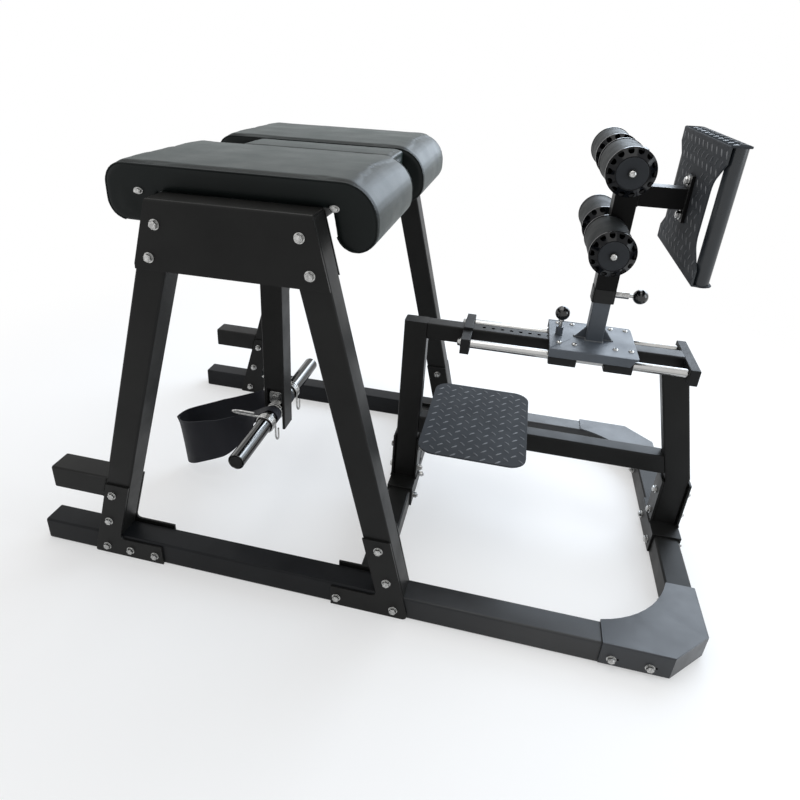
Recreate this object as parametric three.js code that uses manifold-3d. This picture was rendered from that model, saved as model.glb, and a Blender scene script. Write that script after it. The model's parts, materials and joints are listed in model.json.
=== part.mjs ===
// Glute ham developer with a pendulum leg curl under its pads.
// Millimetres, +Z up, floor at z = 0; X runs from the pad tower to the footplate, Y across.
// X below is counted from the left end of the base rails and centred when a part is added.
import * as THREE from 'three';
import { mergeVertices } from 'three/addons/utils/BufferGeometryUtils.js';
import Module from 'manifold-3d';

const wasm = await Module();
wasm.setup();

// Stock and clearances
const gap = 0.3;
const tube = 70;
const wall = 3;
const plate = 6;
const sheet = 5;
const cutPast = 20;
const bite = 1;

// Base
const baseWidth = 1070;
const rearFace = 1815;
const railEnd = 1722;
const crossFrontX = 929;
const rearCrossHalf = 433;

// Corner plates
const cornerStart = 1560;
const cornerChamfer = 93;
const cornerReturn = 285;
const cornerLip = 8;
const cornerArcRise = 35;

// Pad tower
const leftLegFoot = 151;
const leftLean = 0.29;
const rightLegFoot = 1012;
const rightLean = 0.255;
const legTop = 1034;
const stubStart = 61;
const stubLow = 201;

// Gussets at the legs' feet
const leftGusset = { reach: 372, inset: 4, outerFoot: 62, innerFoot: 80, top: 252, round: 14 };
const rightGusset = { reach: 870, toe: 1082, outerFoot: 62, innerFoot: 80, top: 248, round: 16 };

// Plates that join the legs' tops
const sidePlateLow = 884;
const innerPlateLow = 898;
const sidePlateNotch = 12;
const supportWidth = 50;
const supportHeight = 40;
const supportWall = 2.5;
const leftSupportX = 470;
const rightSupportX = 752;

// Pads
const pad = {
  overhang: 7, inner: 80, rise: 57, crown: 4, left: 313, right: 938,
  leftDrop: 72, leftLip: 425, leftHeel: 442, hookDrop: 90, hookLip: 847, hookHeel: 838,
  mouthDrop: 55, cornerLeft: 48, cornerTop: 84, hookRound: 47, edge: 9,
};
const boardMargin = 14;
const boardThick = 17;
const centrePad = { start: 446, end: 876, seam: 6, rise: 52, round: 14, edge: 6 };

// Pendulum
const pivotX = 514;
const pivotZ = 950;
const shaftRadius = 15;
const shaftClearance = 0.1;
const shaftCollarRadius = 25;
const shaftCollarWidth = 14;
const hubRadius = 28;
const hubHalf = 45;
const armWall = 4;
const armFloor = 330;
const armCap = 915;
const tongueFloor = 180;
const tongueThick = 9.7;
const clevisHalf = 20;
const sleeveZ = 245;
const sleeveRadius = 25;
const sleeveBore = 20;
const sleeveHalf = 335;

// Spring collars on the sleeve
const collarWire = 3;
const collarCentre = 112;
const collarPitch = 7.4;
const collarTurns = 3.25;
const collarReach = 108;
const collarDrop = 62;
const collarHairpin = 10;

// Ankle strap
const strap = { thick: 3, eyeWidth: 52, eyeY: 68, eyeGap: 0.6, reach: 316 };
const strapLeanShare = 0.1;
// Along the band from the near eye to the far one, as shares of its reach from the sleeve:
// away from the sleeve, across, up, width, and how far the band has turned upright.
const strapRouteShares = [
  [0.118, -0.236, 0.04, 0.165, 0.05],
  [0.2, -0.28, -0.025, 0.18, 0.4],
  [0.285, -0.335, -0.101, 0.25, 0.75],
  [0.42, -0.385, -0.19, 0.36, 0.95],
  [0.566, -0.408, -0.27, 0.455, 1],
  [0.829, -0.418, -0.358, 0.5, 1],
  [0.956, -0.348, -0.405, 0.533, 1],
  [1, -0.266, -0.42, 0.545, 1],
  [0.949, -0.177, -0.387, 0.533, 1],
  [0.82, -0.108, -0.339, 0.525, 1],
  [0.566, 0.044, -0.256, 0.468, 1],
  [0.42, 0.12, -0.18, 0.37, 0.95],
  [0.3, 0.177, -0.1, 0.25, 0.75],
  [0.2, 0.209, -0.025, 0.18, 0.4],
  [0.118, 0.22, 0.04, 0.165, 0.05],
];

// Spine
const spineWidth = 50;
const beamTop = 630;
const beamHeight = 50;
const lowerBeamTop = 310;
const lowerBeamHeight = 60;
const beamEnd = 1703;
const rearLean = 0.263;
const rearKnee = 237;
const saddleWing = 90;
const saddlePost = 35;
const saddleTop = 230;
const saddleLip = 8;
const indexHole = 5.5;
const indexPitch = 26;
const indexStart = 1161;
const indexCount = 13;
const stepPlate = { start: 1021, end: 1332, half: 218, round: 50 };

// Guide rods and their brackets
const rodY = 78;
const rodZ = 608;
const rodRadius = 12.5;
const bracketThick = 26;
const bracketHalf = 101;
const bracketLow = 583;
const bracketHigh = 628;
const leftBracketX = 1104;
const bracketCollar = 7;

// Carriage
const carriage = { start: 1343, end: 1575, half: 110, top: 640, flange: 25, chamfer: 14, slant: 7 };
const bearing = { span: 74, inner: 52, low: 590, leftX: 1345, rightX: 1490 };
const rodClearance = 0.1;
const pinX = 1369;
const pinRadius = 5;
const pinBarrel = 10;
const pinBarrelHeight = 24;
const knobRadius = 20;
const pinKnobZ = 704;

// Mast
const mastX = 1463;
const lowerMast = 45;
const lowerMastTop = 935;
const upperMast = 55;
const upperMastWall = 4.6;
const mastFloor = 755;
const mastTop = 1150;
const bushing = 59;
const bushingTop = 792;
const mastGusset = 30;
const mastGussetHeight = 38;
const mastPinZ = 776;
const mastPinBarrel = 38;
const mastKnobX = 1558;
const mastHolePitch = 25;
const mastHolesBelow = 2;
const mastHolesAbove = 4;

// Rollers
const axleRadius = 8;
const axleEnd = 240;
const axleHead = 10;
const axleHeadThick = 7;
const upperAxleZ = 1122;
const lowerAxleZ = 941;
const roller = {
  start: 31, end: 239, foam: 51, cap: 53, disc: 33, coneDepth: 18, capWidth: 26, flutes: 12, fluteRadius: 6,
};

// Footplate
const armZ = 1041;
const footArm = 50;
const footFlangeX = 1600;
const footFlange = { half: 27, reach: 56, thick: 8 };
const footplate = {
  drop: 153, rise: 149, half: 230, earHeight: 38, waist: 165, waistDrop: 84, waistRound: 40,
  thick: 4, depth: 46, handleRadius: 18, handleWall: 2.5, handleInset: 19,
  cornerRound: 17,
};

const roundSegments = 24;
const finish = {
  coat: { color: 0x2b2c2e, roughness: 0.55, metalness: 0.35 },
  hide: { color: 0x26282a, roughness: 0.6, metalness: 0 },
  chrome: { color: 0xc9ccce, roughness: 0.2, metalness: 1 },
  wood: { color: 0x9a7b54, roughness: 0.8, metalness: 0 },
  tread: { color: 0x4c4f53, roughness: 0.7, metalness: 0.3 },
  webbing: { color: 0x1b1c21, roughness: 0.9, metalness: 0 },
  plastic: { color: 0x1a1b1d, roughness: 0.5, metalness: 0 },
};
const overallLength = rearFace + gap + plate;
const group = new THREE.Group();
group.name = 'glute_ham_developer';

function add(name, geometry, look) {
  const flat = geometry.index ? geometry.toNonIndexed() : geometry;
  flat.translate(-overallLength / 2, 0, 0);
  flat.computeVertexNormals();
  const mesh = new THREE.Mesh(flat, new THREE.MeshStandardMaterial({ ...look }));
  mesh.name = name;
  group.add(mesh);
}

function outline(points) {
  return new THREE.Shape(points.map(([u, v]) => new THREE.Vector2(u, v)));
}

// Prism of a closed outline along one axis; the outline gives the other two coordinates.
function prism(points, axis, from, to) {
  const shape = points.isShape ? points : outline(points);
  const geometry = new THREE.ExtrudeGeometry(shape, { depth: to - from, bevelEnabled: false });
  const X = new THREE.Vector3(1, 0, 0);
  const Y = new THREE.Vector3(0, 1, 0);
  const Z = new THREE.Vector3(0, 0, 1);
  const basis = new THREE.Matrix4();
  if (axis === 'x') {
    geometry.applyMatrix4(basis.makeBasis(Y, Z, X));
    geometry.translate(from, 0, 0);
  } else if (axis === 'y') {
    geometry.applyMatrix4(basis.makeBasis(X, Z, Y.clone().negate()));
    geometry.translate(0, to, 0);
  } else {
    geometry.translate(0, 0, from);
  }
  return geometry;
}

function box(x0, x1, y0, y1, z0, z1) {
  const geometry = new THREE.BoxGeometry(x1 - x0, y1 - y0, z1 - z0);
  geometry.translate((x0 + x1) / 2, (y0 + y1) / 2, (z0 + z1) / 2);
  return geometry;
}

function circle(u, v, radius, segments = roundSegments) {
  return Array.from({ length: segments }, (_, i) => {
    const angle = (2 * Math.PI * (i + 0.5)) / segments;
    return [u + radius * Math.cos(angle), v + radius * Math.sin(angle)];
  });
}

function rod(axis, u, v, radius, from, to, segments = roundSegments) {
  return prism(circle(u, v, radius, segments), axis, from, to);
}

// Bore polygon whose flats clear a round of the given radius.
function bore(axis, u, v, radius, from, to, segments = roundSegments) {
  return rod(axis, u, v, radius / Math.cos(Math.PI / segments), from, to, segments);
}

function solid(geometry) {
  const bare = geometry.clone();
  bare.deleteAttribute('normal');
  bare.deleteAttribute('uv');
  const merged = mergeVertices(bare, 1e-4);
  const mesh = new wasm.Mesh({
    numProp: 3,
    vertProperties: Float32Array.from(merged.attributes.position.array),
    triVerts: Uint32Array.from(merged.index.array),
  });
  return new wasm.Manifold(mesh);
}

function surface(manifold) {
  const mesh = manifold.getMesh();
  const geometry = new THREE.BufferGeometry();
  geometry.setAttribute('position', new THREE.BufferAttribute(Float32Array.from(mesh.vertProperties), 3));
  geometry.setIndex(new THREE.BufferAttribute(Uint32Array.from(mesh.triVerts), 1));
  return geometry;
}

function join(...parts) {
  return surface(parts.map(solid).reduce((a, b) => a.add(b)));
}

function cut(body, ...tools) {
  return surface(tools.map(solid).reduce((a, b) => a.subtract(b), solid(body)));
}

// Mirrors a geometry across the machine's middle plane and keeps its faces outward.
function mirrored(geometry) {
  const copy = geometry.index ? geometry.toNonIndexed() : geometry.clone();
  const position = copy.attributes.position;
  for (let i = 0; i < position.count; i += 3) {
    const a = [position.getX(i), -position.getY(i), position.getZ(i)];
    const b = [position.getX(i + 1), -position.getY(i + 1), position.getZ(i + 1)];
    const c = [position.getX(i + 2), -position.getY(i + 2), position.getZ(i + 2)];
    position.setXYZ(i, ...a);
    position.setXYZ(i + 1, ...c);
    position.setXYZ(i + 2, ...b);
  }
  copy.deleteAttribute('normal');
  copy.deleteAttribute('uv');
  return copy;
}

// The near piece as drawn, and its mirror image on the far side.
function addPair(name, geometry, look) {
  add(`near_${name}`, geometry.clone(), look);
  add(`far_${name}`, mirrored(geometry), look);
}

function roundedRect(u0, u1, v0, v1, radius, steps = 6) {
  const points = [];
  const corners = [[u1, v0, -1], [u1, v1, 0], [u0, v1, 1], [u0, v0, 2]];
  for (const [u, v, quarter] of corners) {
    const cu = u + (u === u1 ? -radius : radius);
    const cv = v + (v === v1 ? -radius : radius);
    for (let i = 0; i <= steps; i += 1) {
      const angle = (Math.PI / 2) * (quarter + i / steps);
      points.push([cu + radius * Math.cos(angle), cv + radius * Math.sin(angle)]);
    }
  }
  return points;
}

const nearOuter = -baseWidth / 2;
const nearInner = nearOuter + tube;
const nearPlate = nearOuter - gap - plate;
const innerPlateY = nearInner + gap;
const crossEnd = -(innerPlateY + plate + gap);
const plateTop = tube + gap + sheet;

// Base rails run the whole length; the cross tubes close the frame.
const railShell = box(0, railEnd, nearOuter, nearInner, 0, tube);
const railHollow = box(-cutPast, railEnd + cutPast, nearOuter + wall, nearInner - wall, wall, tube - wall);
addPair('base_rail', cut(railShell, railHollow), finish.coat);

function crossTube(x, half) {
  const shell = box(x, x + tube, -half, half, 0, tube);
  const hollow = box(x + wall, x + tube - wall, -half - cutPast, half + cutPast, wall, tube - wall);
  return cut(shell, hollow);
}
add('front_cross_tube', crossTube(crossFrontX, crossEnd), finish.coat);
add('rear_cross_tube', crossTube(rearFace - tube, rearCrossHalf), finish.coat);

// Folded corner plates: a top sheet with a hollowed inner edge and a skirt round the outside.
function cornerPlate() {
  const outerY = nearOuter - gap - sheet;
  const outerX = rearFace + gap + sheet;
  const turnX = outerX - cornerChamfer;
  const turnY = outerY + cornerChamfer;
  const rimX = outerX - sheet;
  const rimY = outerY + sheet;
  const fold = sheet * Math.tan(Math.PI / 8);
  const from = new THREE.Vector2(rearFace - tube, -cornerReturn);
  const to = new THREE.Vector2(cornerStart, nearInner);
  const chord = to.distanceTo(from);
  const radius = (chord * chord) / (8 * cornerArcRise) + cornerArcRise / 2;
  const middle = from.clone().add(to).multiplyScalar(1 / 2);
  const inward = to.clone().sub(from).normalize().rotateAround(new THREE.Vector2(), -Math.PI / 2);
  const centre = middle.clone().addScaledVector(inward, radius - cornerArcRise);
  const arc = [];
  const steps = 10;
  const start = Math.atan2(from.y - centre.y, from.x - centre.x);
  const end = Math.atan2(to.y - centre.y, to.x - centre.x);
  for (let i = 0; i <= steps; i += 1) {
    const angle = start + ((end - start) * i) / steps;
    arc.push([centre.x + radius * Math.cos(angle), centre.y + radius * Math.sin(angle)]);
  }
  const top = [[cornerStart, outerY], [turnX, outerY], [outerX, turnY], [outerX, -cornerReturn], ...arc];
  const skirt = [
    [cornerStart, outerY], [turnX, outerY], [outerX, turnY], [outerX, -cornerReturn],
    [rimX, -cornerReturn], [rimX, turnY + fold], [turnX - fold, rimY], [cornerStart, rimY],
  ];
  return join(prism(top, 'z', tube + gap, plateTop), prism(skirt, 'z', cornerLip, plateTop));
}
addPair('corner_plate', cornerPlate(), finish.coat);

// Leaning legs of the pad tower
function leftEdge(z) {
  return leftLegFoot + leftLean * z;
}
function rightEdge(z) {
  return rightLegFoot - rightLean * z;
}
const leftWide = tube * Math.hypot(1, leftLean);
const rightWide = tube * Math.hypot(1, rightLean);
const legFloor = tube + gap;

function slab(edge, from, to, z0, z1, y0, y1) {
  const points = [[edge(z0) + from, z0], [edge(z0) + to, z0], [edge(z1) + to, z1], [edge(z1) + from, z1]];
  return prism(points, 'y', y0, y1);
}

function leg(edge, wide, lean) {
  const skin = wall * Math.hypot(1, lean);
  const shell = slab(edge, 0, wide, legFloor, legTop, nearOuter, nearInner);
  const inside = slab(edge, skin, wide - skin, legFloor - cutPast, legTop + cutPast, nearOuter + wall, nearInner - wall);
  return [shell, inside];
}

const stubHigh = stubLow + tube;
const [leftShell, leftInside] = leg(leftEdge, leftWide, leftLean);
const stubShell = prism(
  [
    [stubStart, stubLow], [leftEdge(stubLow) + wall, stubLow],
    [leftEdge(stubHigh) + wall, stubHigh], [stubStart, stubHigh],
  ],
  'y', nearOuter, nearInner,
);
const stubInside = prism(
  [
    [stubStart - cutPast, stubLow + wall], [leftEdge(stubLow + wall) - wall, stubLow + wall],
    [leftEdge(stubHigh - wall) - wall, stubHigh - wall], [stubStart - cutPast, stubHigh - wall],
  ],
  'y', nearOuter + wall, nearInner - wall,
);
addPair('left_leg', cut(join(leftShell, stubShell), leftInside, stubInside), finish.coat);

const [rightShell, rightInside] = leg(rightEdge, rightWide, rightLean);
addPair('right_leg', cut(rightShell, rightInside), finish.coat);

// L-shaped gussets outside and inside each foot
function fillet(points, at, radius, steps = 4) {
  const [px, py] = points[(at + points.length - 1) % points.length];
  const [cx, cy] = points[at];
  const [nx, ny] = points[(at + 1) % points.length];
  const corner = new THREE.Vector2(cx, cy);
  const before = new THREE.Vector2(px - cx, py - cy).normalize();
  const after = new THREE.Vector2(nx - cx, ny - cy).normalize();
  const half = Math.acos(THREE.MathUtils.clamp(before.dot(after), -1, 1)) / 2;
  const reach = radius / Math.tan(half);
  const a = corner.clone().addScaledVector(before, reach);
  const b = corner.clone().addScaledVector(after, reach);
  const rounded = [];
  for (let i = 0; i <= steps; i += 1) {
    const t = i / steps;
    const ab = a.clone().lerp(corner, t);
    const bc = corner.clone().lerp(b, t);
    const p = ab.lerp(bc, t);
    rounded.push([p.x, p.y]);
  }
  return [...points.slice(0, at), ...rounded, ...points.slice(at + 1)];
}

function leftGussetOutline(foot) {
  const g = leftGusset;
  const floor = gap;
  const inner = (z) => leftEdge(z) + leftWide;
  const points = [
    [leftEdge(floor) + g.inset, floor], [g.reach, floor], [g.reach, foot],
    [inner(foot), foot], [inner(g.top), g.top], [leftEdge(g.top) + g.inset, g.top],
  ];
  return fillet(fillet(points, 3, g.round), 0, g.round / 2);
}
function rightGussetOutline(foot) {
  const g = rightGusset;
  const floor = gap;
  const outer = (z) => rightEdge(z) + rightWide;
  const points = [
    [g.reach, floor], [g.toe, floor], [outer(g.top), g.top],
    [rightEdge(g.top), g.top], [rightEdge(foot), foot], [g.reach, foot],
  ];
  return fillet(fillet(points, 4, g.round), 1, g.round);
}
const outerY = [nearPlate, nearPlate + plate];
const innerY = [innerPlateY, innerPlateY + plate];
addPair('left_outer_gusset', prism(leftGussetOutline(leftGusset.outerFoot), 'y', ...outerY), finish.coat);
addPair('left_inner_gusset', prism(leftGussetOutline(leftGusset.innerFoot), 'y', ...innerY), finish.coat);
addPair('right_outer_gusset', prism(rightGussetOutline(rightGusset.outerFoot), 'y', ...outerY), finish.coat);
addPair('right_inner_gusset', prism(rightGussetOutline(rightGusset.innerFoot), 'y', ...innerY), finish.coat);

// Side plates tie the legs' tops; the outer one folds over them as a ledge for the pads.
function sideOutline(low, high) {
  const outer = (z) => rightEdge(z) + rightWide;
  return [
    [leftEdge(low + sidePlateNotch), low], [outer(low), low], [outer(high), high],
    [leftEdge(high), high], [leftEdge(low + sidePlateNotch), low + sidePlateNotch],
  ];
}
const ledgeLow = legTop + gap;
const ledgeTop = ledgeLow + sheet;
const outerPlate = join(
  prism(sideOutline(sidePlateLow, ledgeTop), 'y', ...outerY),
  box(leftEdge(ledgeTop), rightEdge(ledgeTop) + rightWide, nearPlate, nearInner, ledgeLow, ledgeTop),
);
addPair('outer_side_plate', outerPlate, finish.coat);
addPair('inner_side_plate', prism(sideOutline(innerPlateLow, legTop), 'y', ...innerY), finish.coat);

function padSupport(x) {
  const low = ledgeTop - supportHeight;
  const shell = box(x, x + supportWidth, -crossEnd, crossEnd, low, ledgeTop);
  const hollow = box(
    x + supportWall, x + supportWidth - supportWall, -crossEnd - cutPast, crossEnd + cutPast,
    low + supportWall, ledgeTop - supportWall,
  );
  return cut(shell, hollow);
}
add('left_pad_support', padSupport(leftSupportX), finish.coat);
add('right_pad_support', padSupport(rightSupportX), finish.coat);

// Cushions: rings of one outline, drawn in towards both ends and crowned over the middle.
function cushion(points, y0, y1, edge, crown, crownFloor) {
  const middle = (y0 + y1) / 2;
  const half = Math.abs(y1 - y0) / 2;
  const insetShares = [1, 0.45, 0.15, 0];
  const reachShares = [0, 0.2, 0.55, 1.15];
  const stations = [];
  insetShares.forEach((inset, i) => stations.push([y0 + edge * reachShares[i], edge * inset]));
  const bodySteps = 4;
  for (let i = 1; i < bodySteps; i += 1) {
    stations.push([y0 + ((y1 - y0) * i) / bodySteps, 0]);
  }
  insetShares.slice().reverse().forEach((inset, i) => {
    const reach = reachShares[reachShares.length - 1 - i];
    stations.push([y1 - edge * reach, edge * inset]);
  });
  const count = points.length;
  const normals = points.map((_, i) => {
    const [ax, az] = points[(i + count - 1) % count];
    const [bx, bz] = points[(i + 1) % count];
    const out = new THREE.Vector2(bz - az, ax - bx);
    return out.normalize();
  });
  const vertices = [];
  for (const [y, inset] of stations) {
    const swell = 1 - ((y - middle) / half) ** 2;
    points.forEach(([x, z], i) => {
      const lift = z > crownFloor ? crown * swell : 0;
      vertices.push(x - normals[i].x * inset, y, z - normals[i].y * inset + lift);
    });
  }
  const index = [];
  for (let s = 0; s < stations.length - 1; s += 1) {
    for (let i = 0; i < count; i += 1) {
      const a = s * count + i;
      const b = s * count + ((i + 1) % count);
      index.push(a, a + count, b, b, a + count, b + count);
    }
  }
  const faces = THREE.ShapeUtils.triangulateShape(points.map(([x, z]) => new THREE.Vector2(x, z)), []);
  const last = (stations.length - 1) * count;
  for (const [a, b, c] of faces) {
    index.push(a, b, c);
    index.push(last + a, last + c, last + b);
  }
  const geometry = new THREE.BufferGeometry();
  geometry.setAttribute('position', new THREE.Float32BufferAttribute(vertices, 3));
  geometry.setIndex(index);
  return geometry;
}

function arcPoints(u, v, radius, sweep, steps) {
  return Array.from({ length: steps + 1 }, (_, i) => {
    const angle = THREE.MathUtils.degToRad(sweep.from + ((sweep.to - sweep.from) * i) / steps);
    return [u + radius * Math.cos(angle), v + radius * Math.sin(angle)];
  });
}

const padFloor = ledgeTop + gap;
const padSide = pad.overhang - nearInner;
const hookSweep = { from: -160, to: 0 };
const rollSweep = { from: 8, to: 90 };
const noseSweep = { from: 90, to: 180 };
const shoulderSweep = { from: 0, to: 90 };
const chinSweep = { from: 186, to: 262 };
function padOutline() {
  const p = pad;
  const top = padFloor + p.rise;
  const hookX = p.right - p.hookRound;
  const hookZ = padFloor - p.hookDrop + p.hookRound;
  const rollX = p.right - p.cornerTop;
  const rollZ = top - p.cornerTop;
  const leftX = p.left + p.cornerLeft;
  const leftTop = top - p.cornerLeft;
  const leftLow = padFloor - p.leftDrop + p.cornerLeft;
  const topRun = 3;
  const flat = Array.from({ length: topRun }, (_, i) => (
    [rollX + ((leftX - rollX) * (i + 1)) / (topRun + 1), top]
  ));
  return [
    [p.hookHeel, padFloor],
    [p.hookLip, padFloor - p.mouthDrop],
    ...arcPoints(hookX, hookZ, p.hookRound, hookSweep, 10),
    ...arcPoints(rollX, rollZ, p.cornerTop, rollSweep, 8),
    ...flat,
    ...arcPoints(leftX, leftTop, p.cornerLeft, noseSweep, 7),
    ...arcPoints(leftX, leftLow, p.cornerLeft, chinSweep, 6),
    [p.leftLip, padFloor - p.leftDrop],
    [p.leftHeel, padFloor],
  ];
}
const pocket = box(
  pad.leftHeel + boardMargin, pad.hookHeel - boardMargin, -padSide + boardMargin, -pad.inner - boardMargin,
  padFloor - cutPast, padFloor + boardThick + gap,
);
const padBody = cushion(padOutline(), -padSide, -pad.inner, pad.edge, pad.crown, padFloor + pad.rise / 2);
addPair('pad', cut(padBody, pocket), finish.hide);
const board = box(
  pad.leftHeel + boardMargin + gap, pad.hookHeel - boardMargin - gap,
  -padSide + boardMargin + gap, -pad.inner - boardMargin - gap, padFloor, padFloor + boardThick,
);
addPair('pad_board', board, finish.wood);

function centreOutline() {
  const c = centrePad;
  const top = padFloor + c.rise;
  const right = arcPoints(c.end - c.edge, top - c.edge, c.edge, shoulderSweep, 3);
  const left = arcPoints(c.start + c.round, top - c.round, c.round, noseSweep, 5);
  return [[c.start, padFloor], [c.end, padFloor], ...right, ...left];
}
const centreHalf = pad.inner - centrePad.seam;
const centreBody = cushion(
  centreOutline(), -centreHalf, centreHalf, centrePad.edge, pad.crown / 2, padFloor + centrePad.rise / 2,
);
add('centre_pad', centreBody, finish.hide);

// Pendulum: a hub on a cross shaft, a square arm, two tongues and a weight sleeve.
const shaftCollarStart = hubHalf + gap;
const pivotShaft = join(
  rod('y', pivotX, pivotZ, shaftRadius, -crossEnd, crossEnd),
  rod('y', pivotX, pivotZ, shaftCollarRadius, -shaftCollarStart - shaftCollarWidth, -shaftCollarStart),
  rod('y', pivotX, pivotZ, shaftCollarRadius, shaftCollarStart, shaftCollarStart + shaftCollarWidth),
);
add('pivot_shaft', pivotShaft, finish.chrome);

const armHalf = tube / 2;
const armLeft = pivotX - armHalf;
const armRight = pivotX + armHalf;
const armBody = cut(
  join(
    box(armLeft, armRight, -armHalf, armHalf, armFloor, pivotZ - shaftRadius),
    rod('y', pivotX, pivotZ, hubRadius, -hubHalf, hubHalf),
  ),
  box(
    armLeft + armWall, armRight - armWall, -armHalf + armWall, armHalf - armWall,
    armFloor - cutPast, armCap,
  ),
  bore('y', pivotX, pivotZ, shaftRadius + shaftClearance, -hubHalf - cutPast, hubHalf + cutPast),
);
const tongueHigh = armFloor + cutPast;
const pendulumArm = join(
  armBody,
  box(armLeft, armLeft + tongueThick, -armHalf, armHalf, tongueFloor, tongueHigh),
  box(armRight - tongueThick, armRight, -armHalf, armHalf, tongueFloor, tongueHigh),
  box(armLeft + bite, armRight - bite, -clevisHalf, clevisHalf, sleeveZ + sleeveRadius + gap, tongueHigh),
);
add('pendulum_arm', pendulumArm, finish.coat);

const sleeve = cut(
  rod('y', pivotX, sleeveZ, sleeveRadius, -sleeveHalf, sleeveHalf),
  rod('y', pivotX, sleeveZ, sleeveBore, -sleeveHalf - cutPast, sleeveHalf + cutPast),
);
add('weight_sleeve', sleeve, finish.chrome);

// Least clear distance between stretches of a round wire that lie a turn or more apart.
function leastGap(path, radius) {
  const samples = path.getSpacedPoints(240);
  const step = path.getLength() / 240;
  const skip = Math.ceil((Math.PI * (sleeveRadius + collarWire)) / step);
  let least = Infinity;
  for (let i = 0; i < samples.length; i += 1) {
    for (let j = i + skip; j < samples.length; j += 1) {
      least = Math.min(least, samples[i].distanceTo(samples[j]) - 2 * radius);
    }
  }
  return least;
}

// Spring collars: a coil round the sleeve whose two ends run out, bend back and stop short.
function springCollar() {
  const radius = sleeveRadius + 2 * gap + collarWire;
  const perTurn = 16;
  const total = Math.round(collarTurns * perTurn);
  const half = (collarTurns * collarPitch) / 2;
  const points = [];
  for (let i = 0; i <= total; i += 1) {
    const angle = (2 * Math.PI * i) / perTurn;
    const y = half - collarCentre - (collarPitch * i) / perTurn;
    points.push(new THREE.Vector3(pivotX + radius * Math.cos(angle), y, sleeveZ + radius * Math.sin(angle)));
  }
  const outShares = [0.25, 0.6, 0.9, 1, 0.9, 0.6, 0.3];
  const bendShares = [0, 0, 0.1, 0.5, 0.9, 1, 1];
  const hairpin = (root, along, aside, reach) => outShares.map((out, i) => (
    root.clone().addScaledVector(along, reach * out).addScaledVector(aside, collarHairpin * bendShares[i])
  ));
  const down = new THREE.Vector3(0, 0, -1);
  const left = new THREE.Vector3(-1, 0, 0);
  const right = new THREE.Vector3(1, 0, 0);
  const start = hairpin(points[0], down, right, collarDrop).reverse();
  const end = hairpin(points[points.length - 1], left, new THREE.Vector3(0, 0, 1), collarReach);
  const path = new THREE.CatmullRomCurve3([...start, ...points, ...end], false, 'centripetal');
  console.log(`spring collar, least gap between turns: ${leastGap(path, collarWire).toFixed(2)} mm`);
  const section = outline(circle(0, 0, collarWire, 6));
  return new THREE.ExtrudeGeometry(section, { steps: total * 2, bevelEnabled: false, extrudePath: path });
}
addPair('spring_collar', springCollar(), finish.chrome);

// Strap: one band from an eye on the sleeve, round a loop, to the other eye.
function ankleStrap() {
  const s = strap;
  const radius = sleeveRadius + s.eyeGap + s.thick / 2;
  const eyeSteps = 14;
  const eyeStart = 190;
  const eyeSweep = 280;
  const stations = [];
  const eyeStation = (y, i) => {
    const angle = THREE.MathUtils.degToRad(eyeStart + (eyeSweep * i) / eyeSteps);
    const place = new THREE.Vector3(pivotX + radius * Math.cos(angle), y, sleeveZ + radius * Math.sin(angle));
    return { place, width: s.eyeWidth, upright: 0 };
  };
  for (let i = 0; i <= eyeSteps; i += 1) {
    stations.push(eyeStation(-s.eyeY, i));
  }
  for (const [away, across, rise, width, upright] of strapRouteShares) {
    const place = new THREE.Vector3(pivotX - s.reach * away, s.reach * across, sleeveZ + s.reach * rise);
    stations.push({ place, width: s.reach * width, upright });
  }
  for (let i = eyeSteps; i >= 0; i -= 1) {
    stations.push(eyeStation(s.eyeY, i));
  }
  const curve = new THREE.CatmullRomCurve3(stations.map((station) => station.place), false, 'centripetal');
  const perSpan = 3;
  const steps = (stations.length - 1) * perSpan;
  const vertices = [];
  for (let i = 0; i <= steps; i += 1) {
    const point = curve.getPoint(i / steps);
    const tangent = curve.getTangent(i / steps);
    const from = stations[Math.floor(i / perSpan)];
    const to = stations[Math.min(Math.floor(i / perSpan) + 1, stations.length - 1)];
    const share = (i % perSpan) / perSpan;
    const upright = THREE.MathUtils.lerp(from.upright, to.upright, share);
    const half = THREE.MathUtils.lerp(from.width, to.width, share) / 2;
    const flow = new THREE.Vector3(-strapLeanShare * upright, 1 - upright, upright);
    flow.addScaledVector(tangent, -flow.dot(tangent)).normalize();
    const face = tangent.clone().cross(flow).normalize();
    for (const [w, f] of [[-1, -1], [1, -1], [1, 1], [-1, 1]]) {
      const corner = point.clone().addScaledVector(flow, half * w).addScaledVector(face, (s.thick / 2) * f);
      vertices.push(corner.x, corner.y, corner.z);
    }
  }
  const index = [];
  for (let i = 0; i < steps; i += 1) {
    for (let k = 0; k < 4; k += 1) {
      const a = 4 * i + k;
      const b = 4 * i + ((k + 1) % 4);
      index.push(a, b, a + 4, b, b + 4, a + 4);
    }
  }
  const last = 4 * steps;
  index.push(0, 2, 1, 0, 3, 2, last, last + 1, last + 2, last, last + 2, last + 3);
  const geometry = new THREE.BufferGeometry();
  geometry.setAttribute('position', new THREE.Float32BufferAttribute(vertices, 3));
  geometry.setIndex(index);
  return geometry;
}
add('ankle_strap', ankleStrap(), finish.webbing);

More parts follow.
